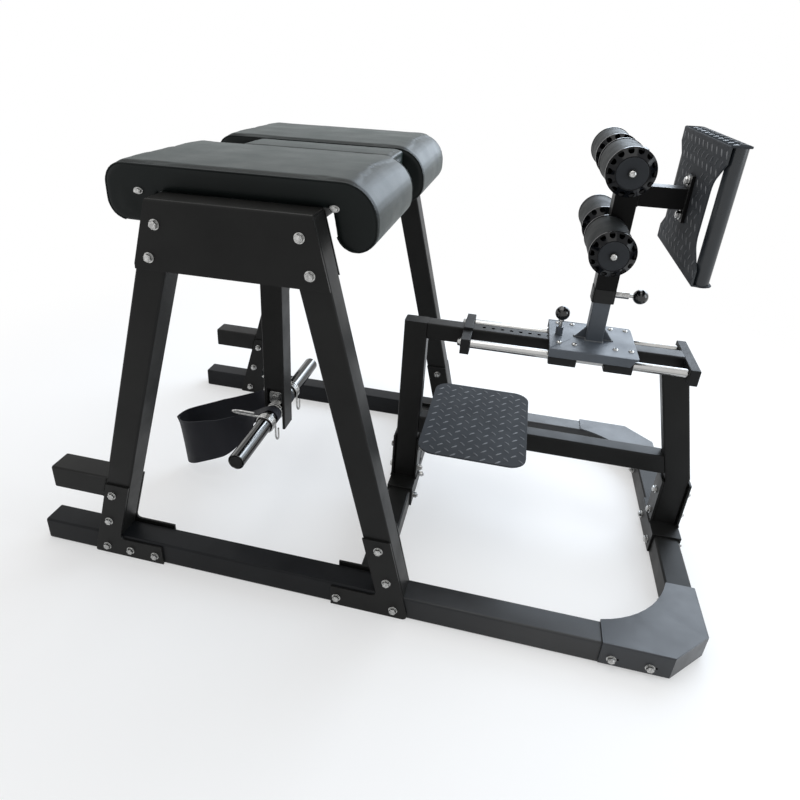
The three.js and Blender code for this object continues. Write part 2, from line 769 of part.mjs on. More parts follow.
// Spine: two posts on saddle feet, an upper and a lower beam
const spineHalf = spineWidth / 2;
function footBracket(x) {
  const left = x - gap - plate;
  const right = x + tube + gap;
  const deck = [tube + gap, tube + gap + plate];
  const cheek = [
    [-saddleWing, saddleLip], [saddleWing, saddleLip], [saddleWing, deck[1]], [saddlePost, deck[1]],
    [saddlePost, saddleTop], [-saddlePost, saddleTop], [-saddlePost, deck[1]], [-saddleWing, deck[1]],
  ];
  return join(
    prism(cheek, 'x', left, left + plate),
    prism(cheek, 'x', right, right + plate),
    box(left, right + plate, -saddleWing, saddleWing, ...deck),
  );
}
add('front_foot_bracket', footBracket(crossFrontX), finish.coat);
add('rear_foot_bracket', footBracket(rearFace - tube), finish.coat);

const postFloor = tube + gap + plate + gap;
const frontPost = cut(
  box(crossFrontX, crossFrontX + tube, -spineHalf, spineHalf, postFloor, beamTop),
  box(
    crossFrontX + wall, crossFrontX + tube - wall, -spineHalf + wall, spineHalf - wall,
    postFloor - cutPast, beamTop - wall,
  ),
);
add('front_post', frontPost, finish.coat);

function rearPost() {
  const left = rearFace - tube;
  const top = beamTop - beamHeight - gap;
  const slant = Math.hypot(1, rearLean);
  const shape = (skin, low, high) => {
    const edge = (z) => left + skin * slant - rearLean * (z - rearKnee);
    const wide = (tube - 2 * skin) * slant;
    const knee = rearKnee - ((rearFace - skin) - (edge(rearKnee) + wide)) / rearLean;
    const turn = rearKnee - (left + skin - edge(rearKnee)) / rearLean;
    return [
      [left + skin, low], [rearFace - skin, low], [rearFace - skin, knee],
      [edge(high) + wide, high], [edge(high), high], [left + skin, turn],
    ];
  };
  return cut(
    prism(shape(0, postFloor, top), 'y', -spineHalf, spineHalf),
    prism(shape(wall, postFloor - cutPast, top + cutPast), 'y', -spineHalf + wall, spineHalf - wall),
  );
}
add('rear_post', rearPost(), finish.coat);

const beamStart = crossFrontX + tube + gap;
const beamLow = beamTop - beamHeight;
const indexHoles = Array.from({ length: indexCount }, (_, i) => (
  rod('z', indexStart + indexPitch * i, 0, indexHole, beamTop - 2 * wall, beamTop + cutPast, 12)
));
const upperBeam = cut(
  box(beamStart, beamEnd, -spineHalf, spineHalf, beamLow, beamTop),
  box(
    beamStart - cutPast, beamEnd + cutPast, -spineHalf + wall, spineHalf - wall,
    beamLow + wall, beamTop - wall,
  ),
  ...indexHoles,
);
add('upper_beam', upperBeam, finish.coat);

function lowerBeam() {
  const low = lowerBeamTop - lowerBeamHeight;
  const edge = (z) => rearFace - tube - rearLean * (z - rearKnee) - gap * Math.hypot(1, rearLean);
  const shell = [[beamStart, low], [edge(low), low], [edge(lowerBeamTop), lowerBeamTop], [beamStart, lowerBeamTop]];
  return cut(
    prism(shell, 'y', -spineHalf, spineHalf),
    box(
      beamStart - cutPast, rearFace, -spineHalf + wall, spineHalf - wall,
      low + wall, lowerBeamTop - wall,
    ),
  );
}
add('lower_beam', lowerBeam(), finish.coat);

const stepOutline = roundedRect(stepPlate.start, stepPlate.end, -stepPlate.half, stepPlate.half, stepPlate.round);
add('step_plate', prism(stepOutline, 'z', lowerBeamTop + gap, lowerBeamTop + gap + sheet), finish.tread);

// Guide rods between two brackets
function rodBracket(collared) {
  const hump = spineHalf + bracketCollar;
  const high = beamTop + bracketCollar;
  const low = beamLow - bracketCollar;
  if (!collared) {
    return [[-bracketHalf, bracketLow], [bracketHalf, bracketLow], [bracketHalf, bracketHigh], [-bracketHalf, bracketHigh]];
  }
  return [
    [-bracketHalf, bracketLow], [-hump, bracketLow], [-hump, low], [hump, low], [hump, bracketLow],
    [bracketHalf, bracketLow], [bracketHalf, bracketHigh], [hump, bracketHigh], [hump, high],
    [-hump, high], [-hump, bracketHigh], [-bracketHalf, bracketHigh],
  ];
}
const leftBracket = cut(
  prism(rodBracket(true), 'x', leftBracketX, leftBracketX + bracketThick),
  box(
    leftBracketX - cutPast, leftBracketX + bracketThick + cutPast,
    -spineHalf - gap, spineHalf + gap, beamLow - gap, beamTop + gap,
  ),
);
add('left_rod_bracket', leftBracket, finish.coat);
const rightBracketX = beamEnd + gap;
add('right_rod_bracket', prism(rodBracket(false), 'x', rightBracketX, rightBracketX + bracketThick), finish.coat);
const rodSpan = [leftBracketX + bracketThick + gap, rightBracketX - gap];
addPair('guide_rod', rod('x', -rodY, rodZ, rodRadius, ...rodSpan), finish.chrome);

// Carriage: a folded plate on four bearing blocks, with the lower mast welded to it
function carriageFrame() {
  const c = carriage;
  const low = c.top - plate;
  const deck = [
    [c.start, -c.half], [c.end - c.slant, -c.half], [c.end, -c.half + c.slant * 2],
    [c.end, c.half - c.slant * 2], [c.end - c.slant, c.half], [c.start, c.half],
  ];
  const skirt = [
    [c.start, c.top], [c.start, c.top - c.flange], [c.end - c.slant - c.chamfer, c.top - c.flange],
    [c.end - c.slant, c.top],
  ];
  const mastHalf = lowerMast / 2;
  const gusset = (side) => {
    const foot = mastX + side * mastHalf;
    const root = foot - side * bite;
    const points = [[root, c.top - bite], [foot + side * mastGusset, c.top - bite], [root, c.top + mastGussetHeight]];
    return prism(side > 0 ? points : points.reverse(), 'y', -plate / 2, plate / 2);
  };
  const body = join(
    prism(deck, 'z', low, c.top),
    prism(skirt, 'y', -c.half, -c.half + plate),
    prism(skirt, 'y', c.half - plate, c.half),
    box(mastX - mastHalf, mastX + mastHalf, -mastHalf, mastHalf, c.top - plate / 2, lowerMastTop),
    gusset(1),
    gusset(-1),
    rod('z', pinX, 0, pinBarrel, c.top - plate / 2, c.top + pinBarrelHeight, 16),
  );
  const holes = [];
  for (let i = -mastHolesBelow; i <= mastHolesAbove; i += 1) {
    holes.push(rod('x', 0, mastPinZ + mastHolePitch * i, indexHole, mastX + wall, mastX + upperMast, 12));
  }
  return cut(
    body,
    box(
      mastX - mastHalf + wall, mastX + mastHalf - wall, -mastHalf + wall, mastHalf - wall,
      c.top, lowerMastTop + cutPast,
    ),
    bore('z', pinX, 0, pinRadius + shaftClearance, low - cutPast, c.top + pinBarrelHeight + cutPast, 16),
    ...holes,
  );
}
add('carriage_frame', carriageFrame(), finish.coat);

function bearingBlock(x) {
  const outer = -carriage.half + plate + gap;
  const high = carriage.top - plate - gap;
  return cut(
    box(x, x + bearing.span, outer, -bearing.inner, bearing.low, high),
    bore('x', -rodY, rodZ, rodRadius + rodClearance, x - cutPast, x + bearing.span + cutPast),
  );
}
addPair('left_bearing_block', bearingBlock(bearing.leftX), finish.coat);
addPair('right_bearing_block', bearingBlock(bearing.rightX), finish.coat);

// Pull pins: a plunger with a ball on its end
function ball(x, y, z, radius) {
  const geometry = new THREE.SphereGeometry(radius, 16, 10);
  geometry.translate(x, y, z);
  return geometry;
}
const carriagePin = join(
  rod('z', pinX, 0, pinRadius, beamTop + gap, pinKnobZ, 16),
  ball(pinX, 0, pinKnobZ, knobRadius),
);
add('carriage_pull_pin', carriagePin, finish.plastic);
const mastPin = join(
  rod('x', 0, mastPinZ, pinRadius, mastX + lowerMast / 2 + gap, mastKnobX, 16),
  ball(mastKnobX, 0, mastPinZ, knobRadius),
);
add('mast_pull_pin', mastPin, finish.plastic);

// Roller mast: outer tube, bushing, cross axles, arm and flange in one weldment
const axleX = mastX - upperMast / 2 - axleRadius / 2;
function rollerMast() {
  const half = upperMast / 2;
  const clear = half - upperMastWall;
  const ring = bushing / 2;
  const armHigh = armZ + footArm / 2;
  const armLow = armZ - footArm / 2;
  const armReach = footArm / 2;
  const axles = [];
  for (const z of [upperAxleZ, lowerAxleZ]) {
    axles.push(rod('y', axleX, z, axleRadius, -axleEnd, axleEnd, 16));
    axles.push(rod('y', axleX, z, axleHead, axleEnd, axleEnd + axleHeadThick, 6));
    axles.push(rod('y', axleX, z, axleHead, -axleEnd - axleHeadThick, -axleEnd, 6));
  }
  const outer = join(
    box(mastX - half, mastX + half, -half, half, mastFloor, mastTop),
    prism(roundedRect(mastX - ring, mastX + ring, -ring, ring, ring / 3, 3), 'z', mastFloor, bushingTop),
    box(mastX + half - bite, footFlangeX + bite, -armReach, armReach, armLow, armHigh),
    box(
      footFlangeX, footFlangeX + footFlange.thick, -footFlange.half, footFlange.half,
      armZ - footFlange.reach, armZ + footFlange.reach,
    ),
    rod('x', 0, mastPinZ, pinBarrel, mastX + half - bite, mastX + half + mastPinBarrel, 16),
    ...axles,
  );
  return cut(
    outer,
    box(mastX - clear, mastX + clear, -clear, clear, mastFloor - cutPast, mastTop - wall),
    bore('x', 0, mastPinZ, pinRadius + shaftClearance, mastX, mastX + half + mastPinBarrel + cutPast, 16),
  );
}
add('roller_mast', rollerMast(), finish.coat);

// Rollers: a round foam sleeve between two caps, the outer one a fluted cone
function rollerBody(z) {
  const r = roller;
  const hole = (axleRadius + shaftClearance) / Math.cos(Math.PI / roundSegments);
  const profile = [
    [hole, -r.end], [r.disc, -r.end], [r.cap, r.coneDepth - r.end], [r.cap, r.capWidth - r.end],
    [r.foam, r.capWidth - r.end], [r.foam, -r.start - r.capWidth], [r.cap, -r.start - r.capWidth],
    [r.cap, -r.start - r.coneDepth / 2], [r.disc, -r.start], [hole, -r.start], [hole, -r.end],
  ].map(([radius, y]) => new THREE.Vector2(radius, y));
  const body = new THREE.LatheGeometry(profile, roundSegments);
  body.translate(axleX, 0, z);
  const fluteAt = (r.disc + r.cap) / 2 + r.fluteRadius / 2;
  const flutes = Array.from({ length: r.flutes }, (_, i) => {
    const angle = (2 * Math.PI * i) / r.flutes;
    const [x, up] = [axleX + fluteAt * Math.cos(angle), z + fluteAt * Math.sin(angle)];
    return rod('y', x, up, r.fluteRadius, -r.end - cutPast, r.coneDepth - r.end + r.fluteRadius / 2, 6);
  });
  return cut(body, ...flutes);
}
addPair('upper_roller', rollerBody(upperAxleZ), finish.plastic);
addPair('lower_roller', rollerBody(lowerAxleZ), finish.plastic);

// Footplate: waisted tread sheet, folded top and bottom, with a handle tube down each side
function footplateBody() {
  const f = footplate;
  const low = armZ - f.drop;
  const high = armZ + f.rise;
  const front = footFlangeX + footFlange.thick + gap;
  const back = front + f.thick;
  const corners = [
    [f.half, high], [f.half, high - f.earHeight], [f.waist, high - f.waistDrop],
    [f.waist, low + f.waistDrop], [f.half, low + f.earHeight], [f.half, low],
  ];
  const side = fillet(fillet(corners, 3, f.waistRound), 2, f.waistRound);
  const other = side.map(([y, z]) => [-y, z]).reverse();
  const handleX = back + f.handleRadius + gap * 3;
  const handleY = f.half - f.handleInset;
  const handles = [-handleY, handleY];
  const fold = [
    [front, -f.half], [front + f.depth, -f.half], [front + f.depth, f.half], [front, f.half],
  ];
  const foldOutline = fillet(fillet(fold, 2, f.cornerRound), 1, f.cornerRound);
  return cut(
    join(
      prism([...side, ...other].reverse(), 'x', front, back),
      prism(foldOutline, 'z', high - f.thick, high),
      prism(foldOutline, 'z', low, low + f.thick),
      ...handles.map((y) => rod('z', handleX, y, f.handleRadius, low + f.thick / 2, high - f.thick / 2)),
    ),
    ...handles.map((y) => (
      rod('z', handleX, y, f.handleRadius - f.handleWall, low - cutPast, high - 2 * f.thick, 16)
    )),
  );
}
add('footplate', footplateBody(), finish.tread);

export default group;
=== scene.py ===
import json
import math
import random

import bmesh
import bpy
from mathutils import Matrix, Vector, kdtree

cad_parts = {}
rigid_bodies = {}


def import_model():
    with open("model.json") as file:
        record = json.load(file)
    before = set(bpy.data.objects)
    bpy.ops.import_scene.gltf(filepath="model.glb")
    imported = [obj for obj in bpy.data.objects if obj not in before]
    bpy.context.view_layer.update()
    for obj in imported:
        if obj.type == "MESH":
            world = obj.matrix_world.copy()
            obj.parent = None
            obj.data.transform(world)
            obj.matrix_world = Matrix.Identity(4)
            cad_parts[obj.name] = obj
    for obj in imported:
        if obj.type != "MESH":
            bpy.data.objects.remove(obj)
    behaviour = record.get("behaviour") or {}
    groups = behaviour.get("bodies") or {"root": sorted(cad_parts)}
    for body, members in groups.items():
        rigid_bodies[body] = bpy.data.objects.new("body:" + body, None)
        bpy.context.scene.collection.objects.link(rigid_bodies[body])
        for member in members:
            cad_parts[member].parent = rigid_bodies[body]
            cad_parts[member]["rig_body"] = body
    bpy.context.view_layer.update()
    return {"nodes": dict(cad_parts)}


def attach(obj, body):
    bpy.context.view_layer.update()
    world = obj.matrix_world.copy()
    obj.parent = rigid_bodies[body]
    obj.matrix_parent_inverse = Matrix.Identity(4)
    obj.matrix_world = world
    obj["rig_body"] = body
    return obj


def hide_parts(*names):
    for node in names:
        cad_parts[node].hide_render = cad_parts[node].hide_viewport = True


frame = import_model()
nodes = frame["nodes"]
random.seed(11)

mm = 0.001
leftEnd = 0.91065  # the rails' left end lies this far left of the machine's middle
xAxis = Vector((1, 0, 0))
yAxis = Vector((0, 1, 0))
zAxis = Vector((0, 0, 1))
sides = ((-1, "near"), (1, "far"))


def setAll(target, **values):
    for name, value in values.items():
        setattr(target, name, value)


def at(x, y, z):  # millimetres from the rails' left end, the middle plane and the floor
    return Vector((x * mm - leftEnd, y * mm, z * mm))


print("stage: camera, light and floor")

view = {
    "place": (0.30005, -1.6858, 1.3270),
    "right": (0.96979, 0.24024, 0.04229),
    "up": (-0.14555, 0.43074, 0.89066),
    "ahead": (-0.19575, 0.86991, -0.45269),
    "lens": 27.739,
    "shift": (0.03536, -0.04225),
}


def addCamera():
    bpy.ops.object.camera_add()
    camera = bpy.context.object
    camera.name = "photo_camera"
    turn = Matrix((view["right"], view["up"], [-v for v in view["ahead"]])).transposed()
    camera.matrix_world = Matrix.Translation(view["place"]) @ turn.to_4x4()
    setAll(camera.data, sensor_width=36, lens=view["lens"], clip_start=0.05, clip_end=60)
    camera.data.shift_x, camera.data.shift_y = view["shift"]
    bpy.context.scene.camera = camera


addCamera()

studio = {
    "backdrop": (1, 1, 1, 1),
    "air": (0.97, 0.98, 1.0, 1),
    "airStrength": 0.42,
    "lamps": [  # name, place, target, width, height, power, colour
        ("top_lamp", (-0.3, 0.2, 3.7), (0, 0, 0.4), 3.0, 3.0, 58, (1.0, 0.99, 0.97)),
        ("window_lamp", (1.9, 3.0, 2.7), (0.3, -0.1, 0.4), 3.6, 3.5, 190, (0.76, 0.87, 1.0)),
        ("left_lamp", (-3.2, -1.8, 1.8), (0, 0, 0.5), 2.0, 2.0, 6, (1.0, 0.98, 0.95)),
        ("right_lamp", (3.3, -0.7, 1.8), (0.3, -0.1, 0.7), 1.5, 1.9, 34, (0.86, 0.94, 1.0)),
    ],
    "floorColor": (0.93, 0.93, 0.93, 1),
    "floorRadius": 9.0,
    "floorLevel": -0.0006,
    "floorClear": (1.0, 2.6),
    "floorGlow": 0.45,
}


def setSocket(tree, socket, value):
    if isinstance(value, bpy.types.NodeSocket):
        tree.links.new(value, socket)
    else:
        socket.default_value = value


def setNode(tree, node, **values):  # a name that is no socket is one of the node's settings
    for name, value in values.items():
        label = name.replace("_", " ")
        if label in node.inputs:
            setSocket(tree, node.inputs[label], value)
        else:
            setattr(node, name, value)
    return node


def addNode(tree, kind, **values):
    return setNode(tree, tree.nodes.new("ShaderNode" + kind), **values)


def pairNumbers(tree, operation, a, b, clamp=False):
    node = addNode(tree, "Math", operation=operation, use_clamp=clamp)
    setSocket(tree, node.inputs[0], a)
    setSocket(tree, node.inputs[1], b)
    return node.outputs[0]


def pairVectors(tree, operation, a, b):
    node = addNode(tree, "VectorMath", operation=operation)
    setSocket(tree, node.inputs[0], a)
    setSocket(tree, node.inputs[1], b)
    return node


def objectSpace(tree):
    return addNode(tree, "TexCoord").outputs["Object"]


def mixShaders(tree, factor, low, high):
    node = addNode(tree, "MixShader")
    for socket, value in zip(node.inputs, (factor, low.outputs[0], high.outputs[0])):
        tree.links.new(value, socket)
    return node.outputs[0]


def seenRays(tree):  # 1 for rays that should meet the plain backdrop
    path = addNode(tree, "LightPath").outputs
    total = pairNumbers(tree, "ADD", path["Is Camera Ray"], path["Is Glossy Ray"])
    return pairNumbers(tree, "ADD", total, path["Is Transmission Ray"], True)


def lightStudio():
    world = bpy.data.worlds.new("studio_air")
    bpy.context.scene.world = world
    world.use_nodes = True
    tree = world.node_tree
    tree.nodes.clear()
    air = addNode(tree, "Background", Color=studio["air"], Strength=studio["airStrength"])
    backdrop = addNode(tree, "Background", Color=studio["backdrop"])
    addNode(tree, "OutputWorld", Surface=mixShaders(tree, seenRays(tree), air, backdrop))
    for name, place, target, width, height, power, color in studio["lamps"]:
        bpy.ops.object.light_add(type="AREA", location=place)
        lamp = bpy.context.object
        lamp.name = name
        lamp.visible_camera = False
        setAll(lamp.data, shape="RECTANGLE", size=width, size_y=height, energy=power, color=color)
        ahead = Vector(target) - Vector(place)
        lamp.rotation_euler = ahead.to_track_quat("-Z", "Y").to_euler()


def layFloor():
    bpy.ops.mesh.primitive_circle_add(
        vertices=96, radius=studio["floorRadius"], fill_type="NGON", location=(0, 0, studio["floorLevel"])
    )
    floor = bpy.context.object
    floor.name = "studio_floor"
    material = bpy.data.materials.new("floor_paint")
    material.use_nodes = True
    tree = material.node_tree
    tree.nodes.clear()
    paint = addNode(tree, "BsdfDiffuse", Color=studio["floorColor"])
    glow = addNode(tree, "Emission", Color=studio["backdrop"])
    away = addNode(tree, "VectorMath", operation="LENGTH", Vector=objectSpace(tree)).outputs["Value"]
    start, end = studio["floorClear"]
    fade = addNode(
        tree, "MapRange", interpolation_type="SMOOTHSTEP", Value=away, From_Min=start, From_Max=end,
        To_Min=studio["floorGlow"],
    )
    seen = pairNumbers(tree, "MULTIPLY", fade.outputs["Result"], seenRays(tree))
    addNode(tree, "OutputMaterial", Surface=mixShaders(tree, seen, paint, glow))
    floor.data.materials.append(material)


lightStudio()
layFloor()
bpy.context.scene.view_settings.view_transform = "Standard"

print("stage: materials")


def newGroup(name, inputs, **outputs):
    group = bpy.data.node_groups.new(name, "ShaderNodeTree")
    for label, value in inputs.items():
        socket = group.interface.new_socket(name=label, in_out="INPUT", socket_type="NodeSocketFloat")
        socket.default_value = value
    for label, kind in outputs.items():
        group.interface.new_socket(name=label, in_out="OUTPUT", socket_type="NodeSocket" + kind)
    return group, group.nodes.new("NodeGroupInput").outputs, group.nodes.new("NodeGroupOutput").inputs


def makeEdgeWear():
    group, given, out = newGroup("edge_wear", {"Radius": 0.002, "Patch Scale": 30.0}, Mask="Float")
    rounded = addNode(group, "Bevel", samples=4, Radius=given["Radius"]).outputs["Normal"]
    plain = addNode(group, "NewGeometry").outputs["Normal"]
    agree = pairVectors(group, "DOT_PRODUCT", rounded, plain).outputs["Value"]
    sharp = pairNumbers(group, "MULTIPLY", pairNumbers(group, "SUBTRACT", 1.0, agree, True), 9.0, True)
    patch = addNode(
        group, "TexNoise", Vector=objectSpace(group), Scale=given["Patch Scale"], Detail=6, Roughness=0.7
    )
    spots = addNode(group, "MapRange", Value=patch.outputs["Fac"], From_Min=0.42, From_Max=0.66)
    group.links.new(pairNumbers(group, "MULTIPLY", sharp, spots.outputs["Result"], True), out["Mask"])
    return group


def makeMottle():
    group, given, out = newGroup("mottle", {"Scale": 8.0, "Low": 0.0, "High": 1.0}, Value="Float")
    noise = addNode(
        group, "TexNoise", Vector=objectSpace(group), Scale=given["Scale"], Detail=5, Roughness=0.6
    )
    spread = addNode(
        group, "MapRange", Value=noise.outputs["Fac"], From_Min=0.3, From_Max=0.7,
        To_Min=given["Low"], To_Max=given["High"],
    )
    group.links.new(spread.outputs["Result"], out["Value"])
    return group


def makeGrain():
    group, given, out = newGroup(
        "fine_grain", {"Scale": 600.0, "Strength": 0.1, "Depth": 0.0002}, Normal="Vector"
    )
    noise = addNode(group, "TexNoise", Vector=objectSpace(group), Scale=given["Scale"], Detail=3)
    bump = addNode(
        group, "Bump", Height=noise.outputs["Fac"], Strength=given["Strength"], Distance=given["Depth"]
    )
    group.links.new(bump.outputs["Normal"], out["Normal"])
    return group


edgeWear = makeEdgeWear()
mottle = makeMottle()
fineGrain = makeGrain()


def speckle(tree, scale, low=0.0, high=1.0):
    return addNode(tree, "Group", node_tree=mottle, Scale=scale, Low=low, High=high).outputs["Value"]


def grained(tree, scale, strength, depth):
    grain = addNode(tree, "Group", node_tree=fineGrain, Scale=scale, Strength=strength, Depth=depth)
    return grain.outputs["Normal"]


def bumped(tree, height, strength, distance):
    return addNode(tree, "Bump", Height=height, Strength=strength, Distance=distance).outputs["Normal"]


finish = {}


def newMaterial(name, **plain):
    material = bpy.data.materials.new(name)
    finish[name] = material
    material.use_nodes = True
    tree = material.node_tree
    tree.nodes.clear()
    shader = addNode(tree, "BsdfPrincipled", **plain)
    addNode(tree, "OutputMaterial", Surface=shader.outputs["BSDF"])
    return tree, shader


def mixColor(tree, factor, low, high, blend="MIX"):
    node = addNode(tree, "Mix", data_type="RGBA", blend_type=blend, Factor=factor)
    for socket, value in ((node.inputs[6], low), (node.inputs[7], high)):
        if isinstance(value, tuple):
            socket.default_value = (*value, 1)
        else:
            tree.links.new(value, socket)
    return node.outputs[2]


def paintedSteel(name, dark, light, worn, rough, grain, gloss):  # a pair of glosses runs along the machine
    tree, shader = newMaterial(name)
    body = mixColor(tree, speckle(tree, 5.0), dark, light)
    wear = addNode(tree, "Group", node_tree=edgeWear, Radius=0.0016, Patch_Scale=26.0)
    faint = pairNumbers(tree, "MULTIPLY", wear.outputs["Mask"], 0.55)
    if isinstance(gloss, tuple):
        along = addNode(tree, "SeparateXYZ", Vector=objectSpace(tree)).outputs["X"]
        gloss = addNode(
            tree, "MapRange", Value=along, From_Min=0.05, From_Max=0.5, To_Min=gloss[0], To_Max=gloss[1]
        ).outputs["Result"]
    setNode(
        tree, shader, Base_Color=mixColor(tree, faint, body, worn), Specular_IOR_Level=gloss,
        Roughness=speckle(tree, 14.0, rough - 0.05, rough + 0.07), Normal=grained(tree, 520.0, grain, 0.0003),
    )


def brightMetal(name, color, rough, scratch, scale):
    tree, shader = newMaterial(name, Metallic=1.0)
    # the base colour is mottled towards a darker tone: painted reflection contrast, which also reads as stains
    darker = tuple(v * 0.4 for v in color)
    setNode(
        tree, shader, Base_Color=mixColor(tree, speckle(tree, scale * 0.45), darker, color),
        Roughness=speckle(tree, scale * 0.3, rough * 0.7, rough * 1.4),
        Normal=grained(tree, scale, scratch, 0.0001),
    )


def paintedReflectionChrome(name, place, across, radius, bands, rough):  # painted reflections: the bar's base colour runs in lighter and darker lengthwise bands
    tree, shader = newMaterial(name, Metallic=1.0)
    centred = pairVectors(tree, "SUBTRACT", objectSpace(tree), place).outputs["Vector"]
    side = pairVectors(tree, "DOT_PRODUCT", centred, across).outputs["Value"]
    share = addNode(tree, "MapRange", Value=side, From_Min=-radius, From_Max=radius)
    ramp = addNode(tree, "ValToRGB", Fac=share.outputs["Result"])
    stops = ramp.color_ramp.elements
    for i, (where, tone) in enumerate(bands):
        stop = stops[i] if i < 2 else stops.new(where)
        stop.position = where
        stop.color = (tone, tone, tone * 0.985, 1)
    # darker specks in the chrome's base colour: painted reflection noise, which also reads as wear
    worn = mixColor(tree, speckle(tree, 40.0, 0.0, 0.22), (1, 1, 1), (0.6, 0.58, 0.55))
    setNode(
        tree, shader, Base_Color=mixColor(tree, 1.0, ramp.outputs["Color"], worn, "MULTIPLY"),
        Roughness=speckle(tree, 60.0, rough * 0.7, rough * 1.5), Normal=grained(tree, 420.0, 0.05, 0.0001),
    )


def moulded(name, dark, light, rough, grain, scale, **plain):
    tree, shader = newMaterial(name, **plain)
    setNode(
        tree, shader, Base_Color=mixColor(tree, speckle(tree, 9.0), dark, light),
        Roughness=speckle(tree, 20.0, rough * 0.85, rough * 1.15), Normal=grained(tree, scale, grain, 0.0004),
    )


def leather():
    tree, shader = newMaterial(
        "pad_leather", Specular_IOR_Level=0.15, Sheen_Weight=0.05, Sheen_Roughness=0.35,
        Sheen_Tint=(0.6, 1, 0.93, 1),
    )
    cells = addNode(tree, "TexVoronoi", feature="SMOOTH_F1", Scale=620, Vector=objectSpace(tree))
    setNode(
        tree, shader,
        Base_Color=mixColor(tree, speckle(tree, 6.0), (0.0045, 0.0062, 0.006), (0.0075, 0.0102, 0.0098)),
        Roughness=speckle(tree, 11.0, 0.37, 0.45), Normal=bumped(tree, cells.outputs["Distance"], 0.3, 0.0005),
    )


def nylon():
    tree, shader = newMaterial(
        "strap_nylon", Specular_IOR_Level=0.2, Sheen_Weight=0.05, Sheen_Roughness=0.5
    )
    flat = addNode(tree, "UVMap", uv_map="weave").outputs["UV"]
    ribs = addNode(tree, "TexWave", bands_direction="Y", Scale=120, Distortion=0.6, Vector=flat)
    threads = addNode(tree, "TexWave", bands_direction="X", Scale=200, Distortion=0.4, Vector=flat)
    weave = pairNumbers(tree, "MULTIPLY", ribs.outputs["Fac"], threads.outputs["Fac"])
    setNode(
        tree, shader, Base_Color=mixColor(tree, weave, (0.0035, 0.0038, 0.006), (0.014, 0.016, 0.026)),
        Roughness=speckle(tree, 15.0, 0.5, 0.64), Normal=bumped(tree, weave, 0.5, 0.0006),
    )


def plywood():
    tree, shader = newMaterial("board_plywood", Roughness=0.75)
    stretch = addNode(tree, "Mapping", Scale=(4, 60, 700), Vector=objectSpace(tree))
    fibres = addNode(tree, "TexNoise", Scale=1.0, Detail=6, Vector=stretch.outputs["Vector"]).outputs["Fac"]
    setNode(
        tree, shader, Base_Color=mixColor(tree, fibres, (0.22, 0.13, 0.06), (0.42, 0.28, 0.15)),
        Normal=bumped(tree, fibres, 0.3, 0.0005),
    )


coats = {  # dark, light and worn colour, roughness, grain, gloss
    "black_coat": ((0.0085, 0.0085, 0.0082), (0.0145, 0.0145, 0.0138), (0.06, 0.06, 0.059), 0.38, 0.16, 0.14),
    # a faintly lighter, bluish copy of the black coat for the base rails: painted bluish light
    "rail_coat": (
        (0.009, 0.0095, 0.0105), (0.0155, 0.0165, 0.018), (0.06, 0.06, 0.062), 0.36, 0.16, (0.12, 0.48),
    ),
    # a darker copy of the black coat for the roller mast: painted shade
    "mast_coat": ((0.0045, 0.0045, 0.0045), (0.008, 0.008, 0.008), (0.05, 0.05, 0.05), 0.36, 0.16, 0.08),
    # a much lighter, bluish copy of the black coat for the carriage: painted light and bluish reflection
    "carriage_coat": ((0.044, 0.053, 0.065), (0.066, 0.08, 0.097), (0.13, 0.15, 0.17), 0.5, 0.16, 0.65),
    # lighter beads: painted highlight along the welds
    "weld_bead": ((0.07, 0.075, 0.08), (0.16, 0.17, 0.18), (0.3, 0.3, 0.3), 0.35, 0.3, 0.5),
    # a lighter, bluish copy of the black coat for the corner plates: painted bluish light
    "plate_coat": ((0.011, 0.013, 0.016), (0.018, 0.021, 0.026), (0.1, 0.11, 0.12), 0.34, 0.16, (0.4, 0.5)),
    # a lighter, bluish copy of the coat for the footplate's handle tubes: painted sheen
    "handle_coat": ((0.013, 0.016, 0.019), (0.02, 0.024, 0.028), (0.1, 0.11, 0.12), 0.3, 0.12, 0.5),
    "cast_coat": ((0.011, 0.0112, 0.0115), (0.019, 0.0192, 0.0195), (0.05, 0.05, 0.05), 0.5, 0.5, 0.14),
    "tread_coat": ((0.034, 0.037, 0.041), (0.048, 0.052, 0.058), (0.09, 0.09, 0.095), 0.68, 0.4, 0.1),
    # a darker, dull copy of the tread coat for the fold's upward faces: painted shade
    "fold_coat": ((0.03, 0.033, 0.036), (0.042, 0.046, 0.05), (0.08, 0.08, 0.085), 0.95, 0.4, 0.0),
    # the marks are lighter than the sheet for their worn tops; marks of one lean are lighter than the others:
    # painted highlight
    "tread_mark": ((0.085, 0.09, 0.097), (0.14, 0.147, 0.158), (0.28, 0.29, 0.3), 0.4, 0.16, 0.35),
    "tread_faint": ((0.068, 0.073, 0.08), (0.104, 0.11, 0.12), (0.18, 0.185, 0.19), 0.45, 0.16, 0.25),
    # near-black for holes and their walls: painted shade
    "hole_dark": ((0.002, 0.002, 0.002), (0.003, 0.003, 0.003), (0.01, 0.01, 0.01), 0.7, 0.1, 0.05),
}
plastics = {  # dark and light colour, roughness, grain, grain scale, gloss
    "seam_thread": ((0.02, 0.022, 0.024), (0.035, 0.037, 0.04), 0.6, 0.5, 2600.0, 0.5),
    "plug_plastic": ((0.007, 0.007, 0.007), (0.012, 0.012, 0.012), 0.5, 0.3, 900.0, 0.25),
    "roller_foam": ((0.0095, 0.011, 0.011), (0.0145, 0.0165, 0.0165), 0.58, 0.7, 760.0, 0.1),
    "cap_plastic": ((0.017, 0.0195, 0.0225), (0.025, 0.028, 0.032), 0.5, 0.25, 500.0, 0.2),
    "cap_flutes": ((0.0025, 0.003, 0.004), (0.005, 0.0055, 0.007), 0.13, 0.06, 300.0, 0.16),
}
